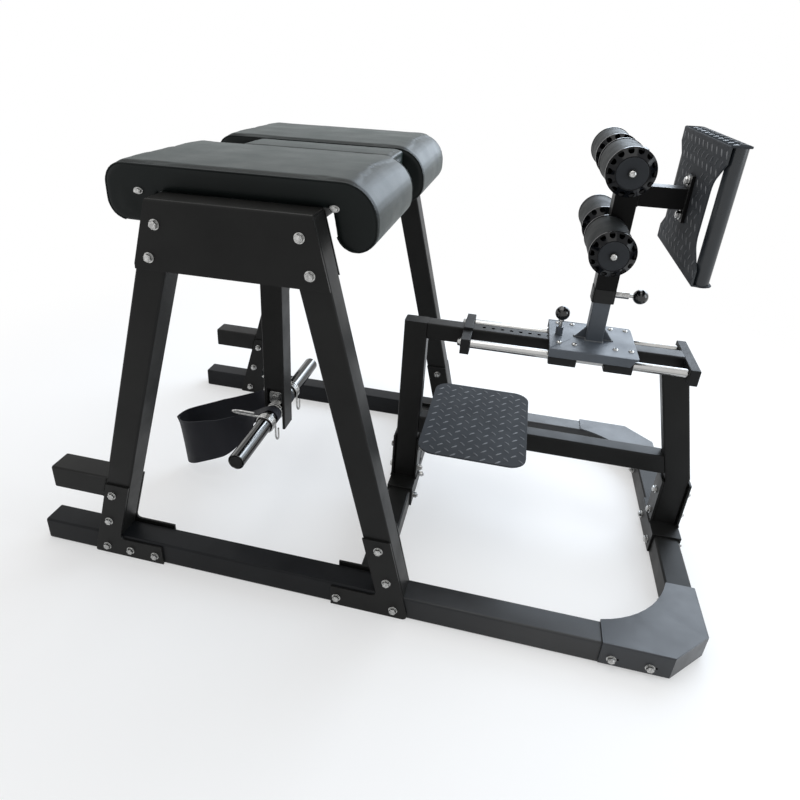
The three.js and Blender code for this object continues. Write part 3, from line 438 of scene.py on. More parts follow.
sleevePaintedReflections = [  # place across the bar, tone of the painted reflection band
    (0.0, 0.02), (0.08, 0.03), (0.13, 0.19), (0.2, 0.13), (0.25, 0.025), (0.33, 0.1), (0.41, 0.035),
    (0.47, 0.14), (0.55, 0.3), (0.62, 0.13), (0.68, 0.04), (0.78, 0.09), (0.88, 0.04), (1.0, 0.02),
]
rodPaintedReflections = [
    (0.0, 0.3), (0.25, 0.42), (0.42, 0.5), (0.5, 0.2), (0.56, 0.46), (0.8, 0.55), (0.93, 0.4), (1.0, 0.3),
]

for name, settings in coats.items():
    paintedSteel(name, *settings)
for name, (*settings, gloss) in plastics.items():
    moulded(name, *settings, Specular_IOR_Level=gloss)
moulded("ball_plastic", (0.004, 0.004, 0.0045), (0.006, 0.006, 0.007), 0.16, 0.03, 300.0, Coat_Weight=0.3)
brightMetal("zinc_plate", (0.6, 0.6, 0.59), 0.22, 0.12, 380.0)
brightMetal("wire_chrome", (0.62, 0.62, 0.61), 0.2, 0.05, 400.0)
# the sleeve and the rods get painted reflection bands in their base colour
paintedReflectionChrome("sleeve_chrome_painted_reflections", at(514, 0, 245), (0.91, 0, -0.41), 0.025, sleevePaintedReflections, 0.15)
paintedReflectionChrome("rod_chrome_painted_reflections", at(0, 0, 608), (0, 0, 1), 0.0125, rodPaintedReflections, 0.16)
leather()
plywood()
nylon()

print("stage: steel parts")


def pickNone():
    bpy.ops.object.select_all(action="DESELECT")


def pickOnly(piece):
    pickNone()
    piece.select_set(True)
    bpy.context.view_layer.objects.active = piece


def edit(piece):
    pickOnly(piece)
    bpy.ops.object.mode_set(mode="EDIT")


def endEdit():
    bpy.ops.object.mode_set(mode="OBJECT")


def pickParts(piece, kind, wanted):  # leaves the piece in edit mode and tells how many it picked
    edit(piece)
    bpy.ops.mesh.select_mode(type=kind)
    bpy.ops.mesh.select_all(action="DESELECT")
    shape = bmesh.from_edit_mesh(piece.data)
    count = 0
    for part in shape.faces if kind == "FACE" else shape.edges:
        if wanted(part):
            part.select_set(True)
            count += 1
    bmesh.update_edit_mesh(piece.data)
    return count


def modify(piece, kind, **settings):
    setAll(piece.modifiers.new(kind.lower(), kind), **settings)


def applyAll(piece):
    pickOnly(piece)
    for modifier in list(piece.modifiers):
        bpy.ops.object.modifier_apply(modifier=modifier.name)


def shade(piece, angle=35):
    pickOnly(piece)
    bpy.ops.object.shade_smooth_by_angle(angle=math.radians(angle))
    modify(piece, "WEIGHTED_NORMAL", keep_sharp=True)
    bpy.ops.object.modifier_apply(modifier="weighted_normal")


def settle(piece):
    pickOnly(piece)
    bpy.ops.object.transform_apply(location=True, rotation=True, scale=True)


def newPiece(name, mesh):
    piece = bpy.data.objects.new(name, mesh)
    bpy.context.scene.collection.objects.link(piece)
    return piece


def dress(piece, name, body, finishName):
    piece.name = name
    piece.data.name = name
    piece.data.materials.clear()
    piece.data.materials.append(finish[finishName])
    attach(piece, body)
    return piece


def addShape(operator, scale=(1, 1, 1), **settings):
    pickNone()
    operator(**settings)
    piece = bpy.context.object
    piece.scale = scale
    settle(piece)
    return piece


def cylinder(vertices, radius, depth, z=0.0, **more):  # upright, sizes in millimetres
    settings = {"location": (0, 0, z * mm), **more}
    return addShape(
        bpy.ops.mesh.primitive_cylinder_add, vertices=vertices, radius=radius * mm, depth=depth * mm, **settings
    )


def sphere(segments, rings, radius, scale=(1, 1, 1), place=(0, 0, 0)):
    return addShape(
        bpy.ops.mesh.primitive_uv_sphere_add, scale,
        segments=segments, ring_count=rings, radius=radius * mm, location=place,
    )


def block(size, place):
    return addShape(bpy.ops.mesh.primitive_cube_add, [length * mm for length in size], size=1, location=place)


def keepUpperHalf(piece):
    edit(piece)
    bpy.ops.mesh.select_all(action="SELECT")
    bpy.ops.mesh.bisect(plane_co=(0, 0, 0), plane_no=(0, 0, 1), clear_inner=True, use_fill=True)
    endEdit()


def joinAll(parts):
    pickOnly(parts[0])
    for part in parts[1:]:
        part.select_set(True)
    bpy.ops.object.join()
    return parts[0]


def cutAway(piece, cutter):
    modify(piece, "BOOLEAN", object=cutter)
    applyAll(piece)
    bpy.data.objects.remove(cutter)


def bevelSharp(piece, width, segments, angle):
    modify(
        piece, "BEVEL", width=width * mm, segments=segments, limit_method="ANGLE",
        angle_limit=math.radians(angle),
    )
    applyAll(piece)


def copyNode(name):  # a joined, clean copy of a CAD node's mesh
    piece = newPiece(name + "_dressed", nodes[name].data.copy())
    pickOnly(piece)
    bpy.ops.mesh.customdata_custom_splitnormals_clear()
    edit(piece)
    bpy.ops.mesh.select_all(action="SELECT")
    bpy.ops.mesh.remove_doubles(threshold=0.00002)
    bpy.ops.mesh.dissolve_limited(angle_limit=math.radians(0.6))
    endEdit()
    return piece


def roundEdges(piece, amount, segments, wanted, clamp=True):  # rounds the sharp outer edges that are asked for
    def picked(edge):
        sharp = len(edge.link_faces) == 2 and edge.is_convex and edge.calc_face_angle() > math.radians(40)
        return sharp and wanted(edge)

    if pickParts(piece, "EDGE", picked):
        bpy.ops.mesh.bevel(offset=amount * mm, segments=segments, profile=0.5, clamp_overlap=clamp)
    endEdit()


def longerThan(length):
    return lambda edge: edge.calc_length() > length * mm


def shorterThan(length):
    return lambda edge: edge.calc_length() < length * mm


def runsAlong(axis, least=0.001):
    return lambda edge: abs(edge.verts[0].co[axis] - edge.verts[1].co[axis]) > least


def liesAbove(height):
    return lambda edge: min(vertex.co.z for vertex in edge.verts) > height


steel = {  # node: (corner radius, least length of a rounded corner, finish), millimetres
    # the rails' coat carries painted bluish light
    "base_rail": (6, 120, "rail_coat"),
    "cross_tube": (6, 120, "black_coat"),
    # the corner plates' coat carries painted bluish light
    "corner_plate": (1.2, 60, "plate_coat"),
    "left_leg": (6, 100, "black_coat"),
    "right_leg": (6, 100, "black_coat"),
    "gusset": (0.8, 20, "black_coat"),
    "side_plate": (1.5, 100, "black_coat"),
    "pad_support": (4, 100, "black_coat"),
    "pendulum_arm": (3.5, 90, "black_coat"),
    "foot_bracket": (0.8, 20, "black_coat"),
    "post": (6, 100, "black_coat"),
    "beam": (5, 120, "black_coat"),
    "step_plate": (0.8, 20, "tread_coat"),
    "rod_bracket": (2.5, 24, "cast_coat"),
    # the carriage's coat carries painted light
    "carriage_frame": (3, 44, "carriage_coat"),
    "bearing_block": (3, 20, "cast_coat"),
    # the mast's coat carries painted shade
    "roller_mast": (4, 40, "mast_coat"),
    "footplate": (0.8, 20, "tread_coat"),
}


def alongFold(*limits):  # edges whose two ends lie past each limit: (axis, least distance in mm)
    def wanted(edge):
        for axis, least in limits:
            for vertex in edge.verts:
                value = vertex.co[axis] + (leftEnd if axis == 0 else 0)
                if (abs(value) if axis == 1 else value) < least * mm:
                    return False
        return edge.calc_length() > 0.02
    return wanted


folds = {  # node: [(bend radius, edges)], done before the other corners
    "side_plate": [(10, alongFold((1, 541), (2, 1039)))],
    "corner_plate": [
        (4, alongFold((1, 540), (2, 75))), (4, alongFold((0, 1820), (2, 75))),
        (3, lambda edge: liesAbove(0.075)(edge) and 0.1 < edge.calc_length() < 0.16
            and abs(edge.verts[0].co.y) > 0.44),
    ],
    "footplate": [(4, alongFold((2, 1189.5))), (4, lambda edge: max(v.co.z for v in edge.verts) < 0.8885)],
}
fineEdge = 0.5


def paintFaces(piece, finishName, wanted):  # a second finish on the faces that are asked for
    piece.data.materials.append(finish[finishName])
    index = len(piece.data.materials) - 1
    for face in piece.data.polygons:
        if wanted(face.center, face.normal):
            face.material_index = index


def steelNode(name, family):
    amount, least, finishName = steel[family]
    piece = copyNode(name)
    for bend, wanted in folds.get(family, ()):
        roundEdges(piece, bend, 5, wanted, False)
    roundEdges(piece, amount, 3, longerThan(least))
    roundEdges(piece, fineEdge, 2, longerThan(3))
    shade(piece)
    body = nodes[name]["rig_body"]
    dress(piece, name + "_steel", body, finishName)
    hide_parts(name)
    return piece


steelPieces = {}
for nodeName in sorted(nodes):
    for family in steel:
        if nodeName.endswith(family):
            steelPieces[nodeName] = steelNode(nodeName, family)
            break

bushingLeft = at(1494, 0, 0).x
handleLeft = at(1613.5, 0, 0).x
painted = [  # node, finish, faces by their centre and normal
    # the upper beam's hole walls in near-black: painted shade
    ("upper_beam", "hole_dark", lambda c, n: abs(c.y) < 0.0062 and c.z > 0.6262 and abs(n.z) < 0.4),
    ("roller_mast", "plug_plastic", lambda c, n: c.z < 0.7925 or abs(c.y) > 0.2392),
    ("roller_mast", "zinc_plate", lambda c, n: c.x > bushingLeft and abs(c.z - 0.776) < 0.012 and c.z < 0.82),
    # the handle tubes' faces take the painted sheen coat
    ("footplate", "handle_coat", lambda c, n: c.x > handleLeft and 0.8925 < c.z < 1.1855),
    # the fold's upward faces take the painted shade copy
    ("footplate", "fold_coat", lambda c, n: c.z > 1.1875 and n.z > 0.8),
]
for nodeName, metal, wanted in painted:
    paintFaces(steelPieces[nodeName], metal, wanted)

print("stage: round bars")


def roundBar(
    name, axis, start, length, radius, body, metal="zinc_plate", vertices=64, edge=1.0, slotName="chrome"
):
    middle = start + axis * (length * mm) / 2
    bar = cylinder(
        vertices, radius, length, location=middle, rotation=zAxis.rotation_difference(axis).to_euler()
    )
    bevelSharp(bar, edge, 3, 50)
    shade(bar, 40)
    return dress(bar, name, body, metal)


def sideBar(name, hub, side, startAt, width, *more):  # a short bar across the machine, on one side of it
    startY = side * startAt - (width if side < 0 else 0)
    roundBar(name, yAxis, at(hub["x"], startY, hub["z"]), width, *more)


rods = {"x": 1130.3, "length": 572.7, "y": 78, "z": 608, "radius": 12.5}
for side, word in sides:
    rodPiece = roundBar(
        word + "_rod_bar", xAxis, at(rods["x"], side * rods["y"], rods["z"]), rods["length"], rods["radius"],
        "frame", "rod_chrome_painted_reflections",
    )
    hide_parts(word + "_guide_rod")

shaft = {"x": 514, "z": 950, "half": 458.4, "radius": 15, "collar": 25, "collarAt": 45.3, "collarWidth": 14}
shaftPiece = roundBar(
    "pivot_bar", yAxis, at(shaft["x"], -shaft["half"], shaft["z"]), 2 * shaft["half"], shaft["radius"], "frame",
)
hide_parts("pivot_shaft")
for side, word in sides:
    sideBar(
        word + "_shaft_collar", shaft, side, shaft["collarAt"], shaft["collarWidth"], shaft["collar"], "frame"
    )

sleeve = {"x": 514, "z": 245, "half": 335, "radius": 25, "bore": 20, "plugDepth": 12, "lip": 1.5}


def sleeveShell():
    piece = roundBar(
        "sleeve_tube", yAxis, at(sleeve["x"], -sleeve["half"], sleeve["z"]), 2 * sleeve["half"],
        sleeve["radius"], "pendulum", "sleeve_chrome_painted_reflections", 96, sleeve["lip"],
    )
    for side in (-1, 1):
        pickParts(piece, "FACE", lambda face: face.normal.y * side > 0.99)
        bpy.ops.mesh.inset(thickness=(sleeve["radius"] - sleeve["lip"] - sleeve["bore"]) * mm)
        bpy.ops.mesh.extrude_region_move(
            TRANSFORM_OT_translate={"value": (0, -side * sleeve["plugDepth"] * 2 * mm, 0)}
        )
        endEdit()
    shade(piece, 40)
    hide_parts("weight_sleeve")


sleeveShell()
for side, word in sides:
    sideBar(
        word + "_sleeve_plug", sleeve, side, sleeve["half"] + sleeve["lip"] - sleeve["plugDepth"],
        sleeve["plugDepth"], sleeve["bore"] - 0.2, "pendulum", "plug_plastic", 64, 3.0, "plastic",
    )
for side, word in sides:
    for i, ring in enumerate(((20.6, 12, 31), (33.5, 7, 28.5))):
        sideBar(f"{word}_hub_ring_{i}", sleeve, side, *ring, "pendulum", "wire_chrome", 64, 2.5)

clevis = {"face": 20.2, "thick": 3, "wide": 42, "high": 44, "middle": 292, "round": 8}


def clevisPlate(name, side):
    c = clevis
    place = at(sleeve["x"], side * (c["face"] + c["thick"] / 2), c["middle"])
    piece = block((c["wide"], c["thick"], c["high"]), place)
    roundEdges(piece, c["round"], 4, runsAlong(1))
    roundEdges(piece, 0.6, 2, lambda edge: not runsAlong(1, 0.0001)(edge))
    shade(piece, 40)
    dress(piece, name, "pendulum", "zinc_plate")


clevisPlate("near_clevis_plate", -1)
clevisPlate("far_clevis_plate", 1)

print("stage: bolts and nuts")

bolt = {"washer": 12, "washerThick": 2.2, "head": 9.8, "headThick": 7.2, "nut": 9.8, "nutThick": 10, "stub": 4}


def hexHead(radius, thick, crown, tipRadius, tipHigh):
    seat = bolt["washerThick"]
    head = cylinder(6, radius, thick, thick / 2 + seat)
    roundEdges(head, crown, 2, liesAbove(seat * mm + 0.001))
    washer = cylinder(28, bolt["washer"], seat, seat / 2)
    roundEdges(washer, 0.5, 2, liesAbove(0.001))
    tip = cylinder(20, tipRadius, tipHigh, seat + thick + tipHigh / 2 - 0.2)
    roundEdges(tip, min(tipRadius, tipHigh) * 0.45, 3, liesAbove((seat + thick) * mm))
    joinAll([head, washer, tip])
    shade(head, 40)
    return head


boltShape = hexHead(bolt["head"], bolt["headThick"], 1.3, 6.6, 1.4)
nutShape = hexHead(bolt["nut"], bolt["nutThick"], 1.1, 5.8, bolt["stub"])
screw = sphere(28, 14, 7.5, (1, 1, 0.62))
keepUpperHalf(screw)
cutAway(screw, cylinder(6, 3.1, 6, 5.2))
shade(screw, 30)


def scatter(name, shape, places, body, finishName):  # one shape copied to many places
    gathered = bmesh.new()
    for place in places:
        part = shape.data.copy()
        part.transform(place)
        gathered.from_mesh(part)
        bpy.data.meshes.remove(part)
    mesh = bpy.data.meshes.new(name)
    gathered.to_mesh(mesh)
    gathered.free()
    piece = newPiece(name, mesh)
    shade(piece, 40)
    return dress(piece, name, body, finishName)


def facing(place, direction, turn=None):  # stands a shape made on +Z at a place, along a direction
    spin = Matrix.Rotation(random.uniform(0, math.pi / 3) if turn is None else turn, 4, "Z")
    return Matrix.Translation(place) @ zAxis.rotation_difference(Vector(direction)).to_matrix().to_4x4() @ spin


def fasten(name, shape, spots, body="frame"):  # each spot is a place and a direction
    scatter(name, shape, [facing(*spot) for spot in spots], body, "zinc_plate")


towerBolts = [
    (243, 218), (219, 124), (198, 28), (272, 28), (349, 28), (992, 219), (1018, 118), (1041, 28), (886, 28),
    (471, 987), (449, 913), (793, 992), (815, 915),
]
outerFace = 541.3
innerFace = 458.7
corner = {
    "side": 540.3, "end": 1820.3, "nutSide": 465, "nutEnd": 1745, "x": (1588, 1678), "y": (312, 405), "z": 30,
    "holeAside": 15, "holeZ": 31,
}
for side, word in sides:
    outward = (0, side, 0)
    inward = (0, -side, 0)
    fasten(word + "_tower_bolts", boltShape, [(at(x, side * outerFace, z), outward) for x, z in towerBolts])
    fasten(word + "_tower_nuts", nutShape, [(at(x, side * innerFace, z), inward) for x, z in towerBolts])
    c = corner
    spots = [(at(x, side * c["side"], c["z"]), outward) for x in c["x"]]
    spots += [(at(c["end"], side * y, c["z"]), xAxis) for y in c["y"]]
    fasten(word + "_corner_bolts", boltShape, spots)
    spots = [(at(x, side * c["nutSide"], c["z"]), inward) for x in c["x"]]
    spots += [(at(c["nutEnd"], side * y, c["z"]), -xAxis) for y in c["y"]]
    fasten(word + "_corner_nuts", nutShape, spots)

# near-black discs where the corner plates have holes: painted shade in the holes
hole = cylinder(20, 3.2, 0.4, 0.1)
roundEdges(hole, 0.1, 1, shorterThan(2))
for side, word in sides:
    c = corner
    spots = [facing(at(x + c["holeAside"], side * c["side"], c["holeZ"]), (0, side, 0)) for x in c["x"]]
    scatter(word + "_corner_holes", hole, spots, "frame", "hole_dark")

brackets = {"front": (922.7, 1005.3), "rear": (1738.7, 1821.3)}
bracketBolts = [(-60, 30), (60, 30), (0, 99), (0, 177)]
for word, (left, right) in brackets.items():
    fasten(word + "_bracket_bolts", boltShape, [(at(left, y, z), -xAxis) for y, z in bracketBolts])
    fasten(word + "_bracket_nuts", nutShape, [(at(right, y, z), xAxis) for y, z in bracketBolts])

fasten("rod_end_bolts", boltShape, [(at(1104, side * 78, 608), -xAxis) for side in (-1, 1)])
fasten("clevis_bolt", boltShape, [(at(514, -23, 300), -yAxis)], "pendulum")
fasten("clevis_nut", nutShape, [(at(514, 23, 300), yAxis)], "pendulum")
fasten(
    "carriage_screws", screw,
    [(at(x, y, 640), zAxis) for x in (1369, 1410, 1517, 1558) for y in (-59, 86)], "carriage",
)
fasten("flange_bolts", boltShape, [(at(1600, 0, z), -xAxis) for z in (1083, 1000)], "mast")
fasten("flange_nuts", nutShape, [(at(1612.3, 0, z), xAxis) for z in (1083, 1000)], "mast")

print("stage: tube plugs")

plug = {"half": 34.6, "rim": 3.2, "round": 6, "dome": 1.6}


def tubePlug(name, place):
    wide = plug["half"] * 2
    piece = block((plug["rim"], wide, wide), place - xAxis * plug["rim"] / 2 * mm)
    roundEdges(piece, plug["round"], 4, runsAlong(0))
    pickParts(piece, "FACE", lambda face: face.normal.x < -0.99)
    bpy.ops.mesh.inset(thickness=5 * mm)
    bpy.ops.transform.translate(value=(-plug["dome"] * mm, 0, 0))
    endEdit()
    shade(piece, 30)
    dress(piece, name, "frame", "plug_plastic")


for side, word in sides:
    tubePlug(word + "_rail_plug", at(0, side * 500, 35))
    tubePlug(word + "_stub_plug", at(61, side * 500, 236))

print("stage: rollers")

roller = {
    "start": 31, "end": 239, "foam": 51.5, "cap": 53, "disc": 35.5, "cone": 18, "capWidth": 22,
    "flutes": 14, "fluteAt": 46.6, "fluteRadius": 6.4, "x": 1431.5,
}


def capShape():  # its outer face looks up, its rim ends at z = 0
    rim = roller["capWidth"] - roller["cone"]
    cap = cylinder(96, roller["cap"], rim)
    pickParts(cap, "FACE", lambda face: face.normal.z > 0.99)
    bpy.ops.mesh.extrude_region_move(TRANSFORM_OT_translate={"value": (0, 0, roller["cone"] * mm)})
    share = roller["disc"] / roller["cap"]
    bpy.ops.transform.resize(value=(share, share, 1))
    bpy.ops.mesh.inset(thickness=2 * mm, depth=-1.0 * mm)
    bpy.ops.mesh.inset(thickness=1.6 * mm, depth=1.6 * mm)
    endEdit()
    cap.location.z = rim / 2 * mm
    settle(cap)
    flutes = []
    for i in range(roller["flutes"]):
        angle = 2 * math.pi * i / roller["flutes"]
        reach = roller["fluteAt"] * mm
        bpy.ops.mesh.primitive_cylinder_add(
            vertices=20, radius=roller["fluteRadius"] * mm, depth=0.03,
            location=(reach * math.cos(angle), reach * math.sin(angle), 0.016),
        )
        flutes.append(bpy.context.object)
    cutter = joinAll(flutes)
    settle(cutter)
    cutAway(cap, cutter)
    bevelSharp(cap, 0.8, 2, 28)
    return cap


cap = capShape()
foam = cylinder(96, roller["foam"], roller["end"] - roller["start"] - 2 * (roller["capWidth"] - 1))
roundEdges(foam, 4, 4, shorterThan(10))
rollers = [("upper", 1122), ("lower", 941)]
foamMiddle = (roller["start"] + roller["end"]) / 2
rimOut = roller["end"] - roller["capWidth"]
rimIn = roller["start"] + roller["capWidth"]
for side, sideWord in sides:
    for level, z in rollers:
        name = f"{sideWord}_{level}"
        body = name + "_roll"
        axis = at(roller["x"], 0, z)
        foamSpot, outerSpot, innerSpot = (
            facing(at(roller["x"], side * y, z), (0, side * way, 0), 0)
            for y, way in ((foamMiddle, 1), (rimOut, 1), (rimIn, -1))
        )
        scatter(name + "_foam", foam, [foamSpot], body, "roller_foam")
        caps = scatter(
            name + "_caps", cap, [outerSpot, innerSpot], body, "cap_plastic"
        )
        shown = (roller["disc"] - 2.5) * mm
        paintFaces(
            caps, "cap_flutes",
            lambda c, n: math.hypot(c.x - axis.x, c.z - axis.z) > shown or abs(c.y) < 0.06,
        )
        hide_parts(name + "_roller")

fasten(
    "axle_screws", screw,
    [(at(roller["x"], side * 246.8, z), (0, side, 0)) for side in (-1, 1) for _, z in rollers], "mast",
)

print("stage: pull pins")

pins = {"ball": 20, "neck": 8, "neckLong": 8, "neckShows": 3.5, "stem": 5}


def pullPin(name, axis, stemStart, ballAt, body, node):
    ball = sphere(48, 28, pins["ball"], place=ballAt)
    shade(ball, 60)
    dress(ball, name + "_ball", body, "ball_plastic")
    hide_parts(node)
    length = (ballAt - stemStart).length / mm
    roundBar(name + "_stem", axis, stemStart, length, pins["stem"], body, vertices=32)
    if axis == zAxis:
        neckStart = ballAt - axis * (pins["ball"] + pins["neckShows"]) * mm
        roundBar(name + "_neck", axis, neckStart, pins["neckLong"], pins["neck"], body, vertices=32)


pullPin("carriage_pin", zAxis, at(1369, 0, 630.3), at(1369, 0, 704), "carriage_pin", "carriage_pull_pin")
pullPin("mast_pin", xAxis, at(1485.8, 0, 776), at(1558, 0, 776), "mast_pin", "mast_pull_pin")

print("stage: tread")

tread = {"pitch": 21.25, "long": 10.8, "wide": 2.6, "high": 1.2, "margin": 9, "shift": (-7.5, 3.5)}
mark = sphere(12, 6, 1, (tread["long"], tread["wide"], tread["high"]))
keepUpperHalf(mark)


def treadMarks(name, inside, frameOf, columns, rows, body):
    places = {"mark": [], "faint": []}
    for i in range(-columns, columns + 1):
        for j in range(-rows, rows + 1):
            u = i * tread["pitch"] + tread["shift"][0]
            v = j * tread["pitch"] + tread["shift"][1]
            if (i + j) % 2 == 0 and inside(u, v):
                # marks leaning +45 degrees take the lighter finish and those leaning -45 the darker: painted
                # highlight by the lean
                kind, lean = ("mark", 45) if i % 2 == 0 else ("faint", -45)
                places[kind].append(frameOf(u, v) @ Matrix.Rotation(math.radians(lean), 4, "Z"))
    for kind, spots in places.items():
        scatter(f"{name}_{kind}", mark, spots, body, "tread_" + kind)


step = {"middle": 1176.5, "halfLong": 155.5, "half": 218, "round": 50, "top": 315.3}


def onStep(u, v):
    halfLong = step["halfLong"] - tread["margin"]
    half = step["half"] - tread["margin"]
    if abs(u) > halfLong or abs(v) > half:
        return False
    overU = abs(u) - (step["halfLong"] - step["round"])
    overV = abs(v) - (step["half"] - step["round"])
    return overU < 0 or overV < 0 or math.hypot(overU, overV) < step["round"] - tread["margin"]


treadMarks(
    "step_tread", onStep,
    lambda u, v: Matrix.Translation(at(step["middle"] + u, v, step["top"])), 8, 11, "frame",
)

footplate = {"front": 1608.3, "middle": 1039, "half": 230, "high": 151, "waist": 165, "ear": 38, "drop": 84}


def onFootplate(u, v):  # u runs across, v up
    room = tread["margin"]
    if abs(v) > footplate["high"] - room:
        return False
    toEdge = footplate["high"] - abs(v)
    if toEdge < footplate["ear"]:
        limit = footplate["half"]
    else:
        share = min(1, (toEdge - footplate["ear"]) / (footplate["drop"] - footplate["ear"]))
        limit = footplate["half"] + (footplate["waist"] - footplate["half"]) * share
    return abs(u) < limit - room and not (abs(u) < 36 and abs(v - 2) < 66)


def footplateSpot(u, v):
    turn = zAxis.rotation_difference(-xAxis).to_matrix().to_4x4()
    return Matrix.Translation(at(footplate["front"], u, footplate["middle"] + v)) @ turn


treadMarks("footplate_tread", onFootplate, footplateSpot, 11, 7, "mast")
treadMarks(
    "fold_tread", lambda u, v: abs(u) < 14 and abs(v) < 212,
    lambda u, v: Matrix.Translation(at(1631 + u, v, 1190)), 1, 10, "mast",
)

print("stage: spring collars and strap")


def smoothPath(points, perSpan):  # centripetal curve through the points
    points = [Vector(p) for p in points]
    padded = [points[0] * 2 - points[1]] + points + [points[-1] * 2 - points[-2]]
    out = []
    for i in range(1, len(padded) - 2):
        p0, p1, p2, p3 = padded[i - 1 : i + 3]
        d0, d1, d2 = (max((b - a).length ** 0.5, 1e-5) for a, b in ((p0, p1), (p1, p2), (p2, p3)))
        t1 = ((p1 - p0) / d0 - (p2 - p0) / (d0 + d1) + (p2 - p1) / d1) * d1
        t2 = ((p2 - p1) / d1 - (p3 - p1) / (d1 + d2) + (p3 - p2) / d2) * d1
        for k in range(perSpan):
            t = k / perSpan
            square = (p1 * -3 + p2 * 3 - t1 * 2 - t2) * t * t
            cube = (p1 * 2 - p2 * 2 + t1 + t2) * t * t * t
            out.append(p1 + t1 * t + square + cube)
    out.append(points[-1])
    return out


def wire(name, points, radius, body, finishName, rings=4):
    curve = bpy.data.curves.new(name, "CURVE")
    setAll(curve, dimensions="3D", bevel_depth=radius, bevel_resolution=rings, use_fill_caps=True)
    spline = curve.splines.new("POLY")
    spline.points.add(len(points) - 1)
    for knot, place in zip(spline.points, points):
        knot.co = (*place, 1)
    piece = newPiece(name, curve)
    pickOnly(piece)
    bpy.ops.object.convert(target="MESH")
    piece = bpy.context.object
    shade(piece, 60)
    return dress(piece, name, body, finishName)


collar = {
    "wire": 3, "centre": 112, "pitch": 7.4, "turns": 3.25, "reach": 108, "drop": 62, "hairpin": 10,
    "coil": 28.6, "perTurn": 16,
}


def roundSleeve(radius, angle, y):
    return at(sleeve["x"] + radius * math.cos(angle), y, sleeve["z"] + radius * math.sin(angle))


def collarPath(side):
    c = collar
    total = round(c["turns"] * c["perTurn"])
    coil = []
    for i in range(total + 1):
        angle = 2 * math.pi * i / c["perTurn"]
        y = c["turns"] * c["pitch"] / 2 - c["centre"] - c["pitch"] * i / c["perTurn"]
        coil.append(roundSleeve(c["coil"], angle, y))

    def hairpin(root, along, aside, reach):
        shape = zip((0.25, 0.6, 0.9, 1, 0.9, 0.6, 0.3), (0, 0, 0.1, 0.5, 0.9, 1, 1))
        return [root + along * reach * mm * out + aside * c["hairpin"] * mm * bend for out, bend in shape]

    start = hairpin(coil[0], -zAxis, xAxis, c["drop"])[::-1]
    end = hairpin(coil[-1], -xAxis, zAxis, c["reach"])
    path = smoothPath(start + coil + end, 3)
    return [Vector((p.x, p.y * -side, p.z)) for p in path]


for side, word in sides:
    collarPiece = wire(
        word + "_collar_wire", collarPath(side), collar["wire"] * mm, word + "_collar", "wire_chrome"
    )
    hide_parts(word + "_spring_collar")

strap = {
    "eyeWidth": 30, "eyeY": 62, "eyeRadius": 27.1, "eyeSteps": 14, "eyeStart": 190, "eyeSweep": 280,
    "reach": 316, "lean": 0.1, "perSpan": 5, "columns": 12, "shown": 2.8,
    "route": [  # away from the sleeve, across, rise and width, as shares of the reach, and how upright
        (0.118, -0.236, 0.04, 0.165, 0.05), (0.2, -0.28, -0.025, 0.18, 0.4),
        (0.285, -0.335, -0.101, 0.25, 0.75), (0.42, -0.385, -0.19, 0.36, 0.95),
        (0.566, -0.408, -0.27, 0.455, 1), (0.829, -0.418, -0.358, 0.5, 1),
        (0.956, -0.348, -0.405, 0.533, 1), (1, -0.266, -0.42, 0.545, 1), (0.949, -0.177, -0.387, 0.533, 1),
        (0.82, -0.108, -0.339, 0.525, 1), (0.566, 0.044, -0.256, 0.468, 1), (0.42, 0.12, -0.18, 0.37, 0.95),
        (0.3, 0.177, -0.1, 0.25, 0.75), (0.2, 0.209, -0.025, 0.18, 0.4), (0.118, 0.22, 0.04, 0.165, 0.05),
    ],
}


def strapStations():
    s = strap

    def eye(y, i):
        angle = math.radians(s["eyeStart"] + s["eyeSweep"] * i / s["eyeSteps"])
        return roundSleeve(s["eyeRadius"], angle, y), s["eyeWidth"] * mm, 0.0

    stations = [eye(-s["eyeY"], i) for i in range(s["eyeSteps"] + 1)]
    reach = s["reach"]
    for away, across, rise, width, upright in s["route"]:
        place = at(sleeve["x"] - reach * away, reach * across, sleeve["z"] + reach * rise)
        stations.append((place, reach * width * mm, upright))
    stations += [eye(s["eyeY"], i) for i in range(s["eyeSteps"], -1, -1)]
    return stations


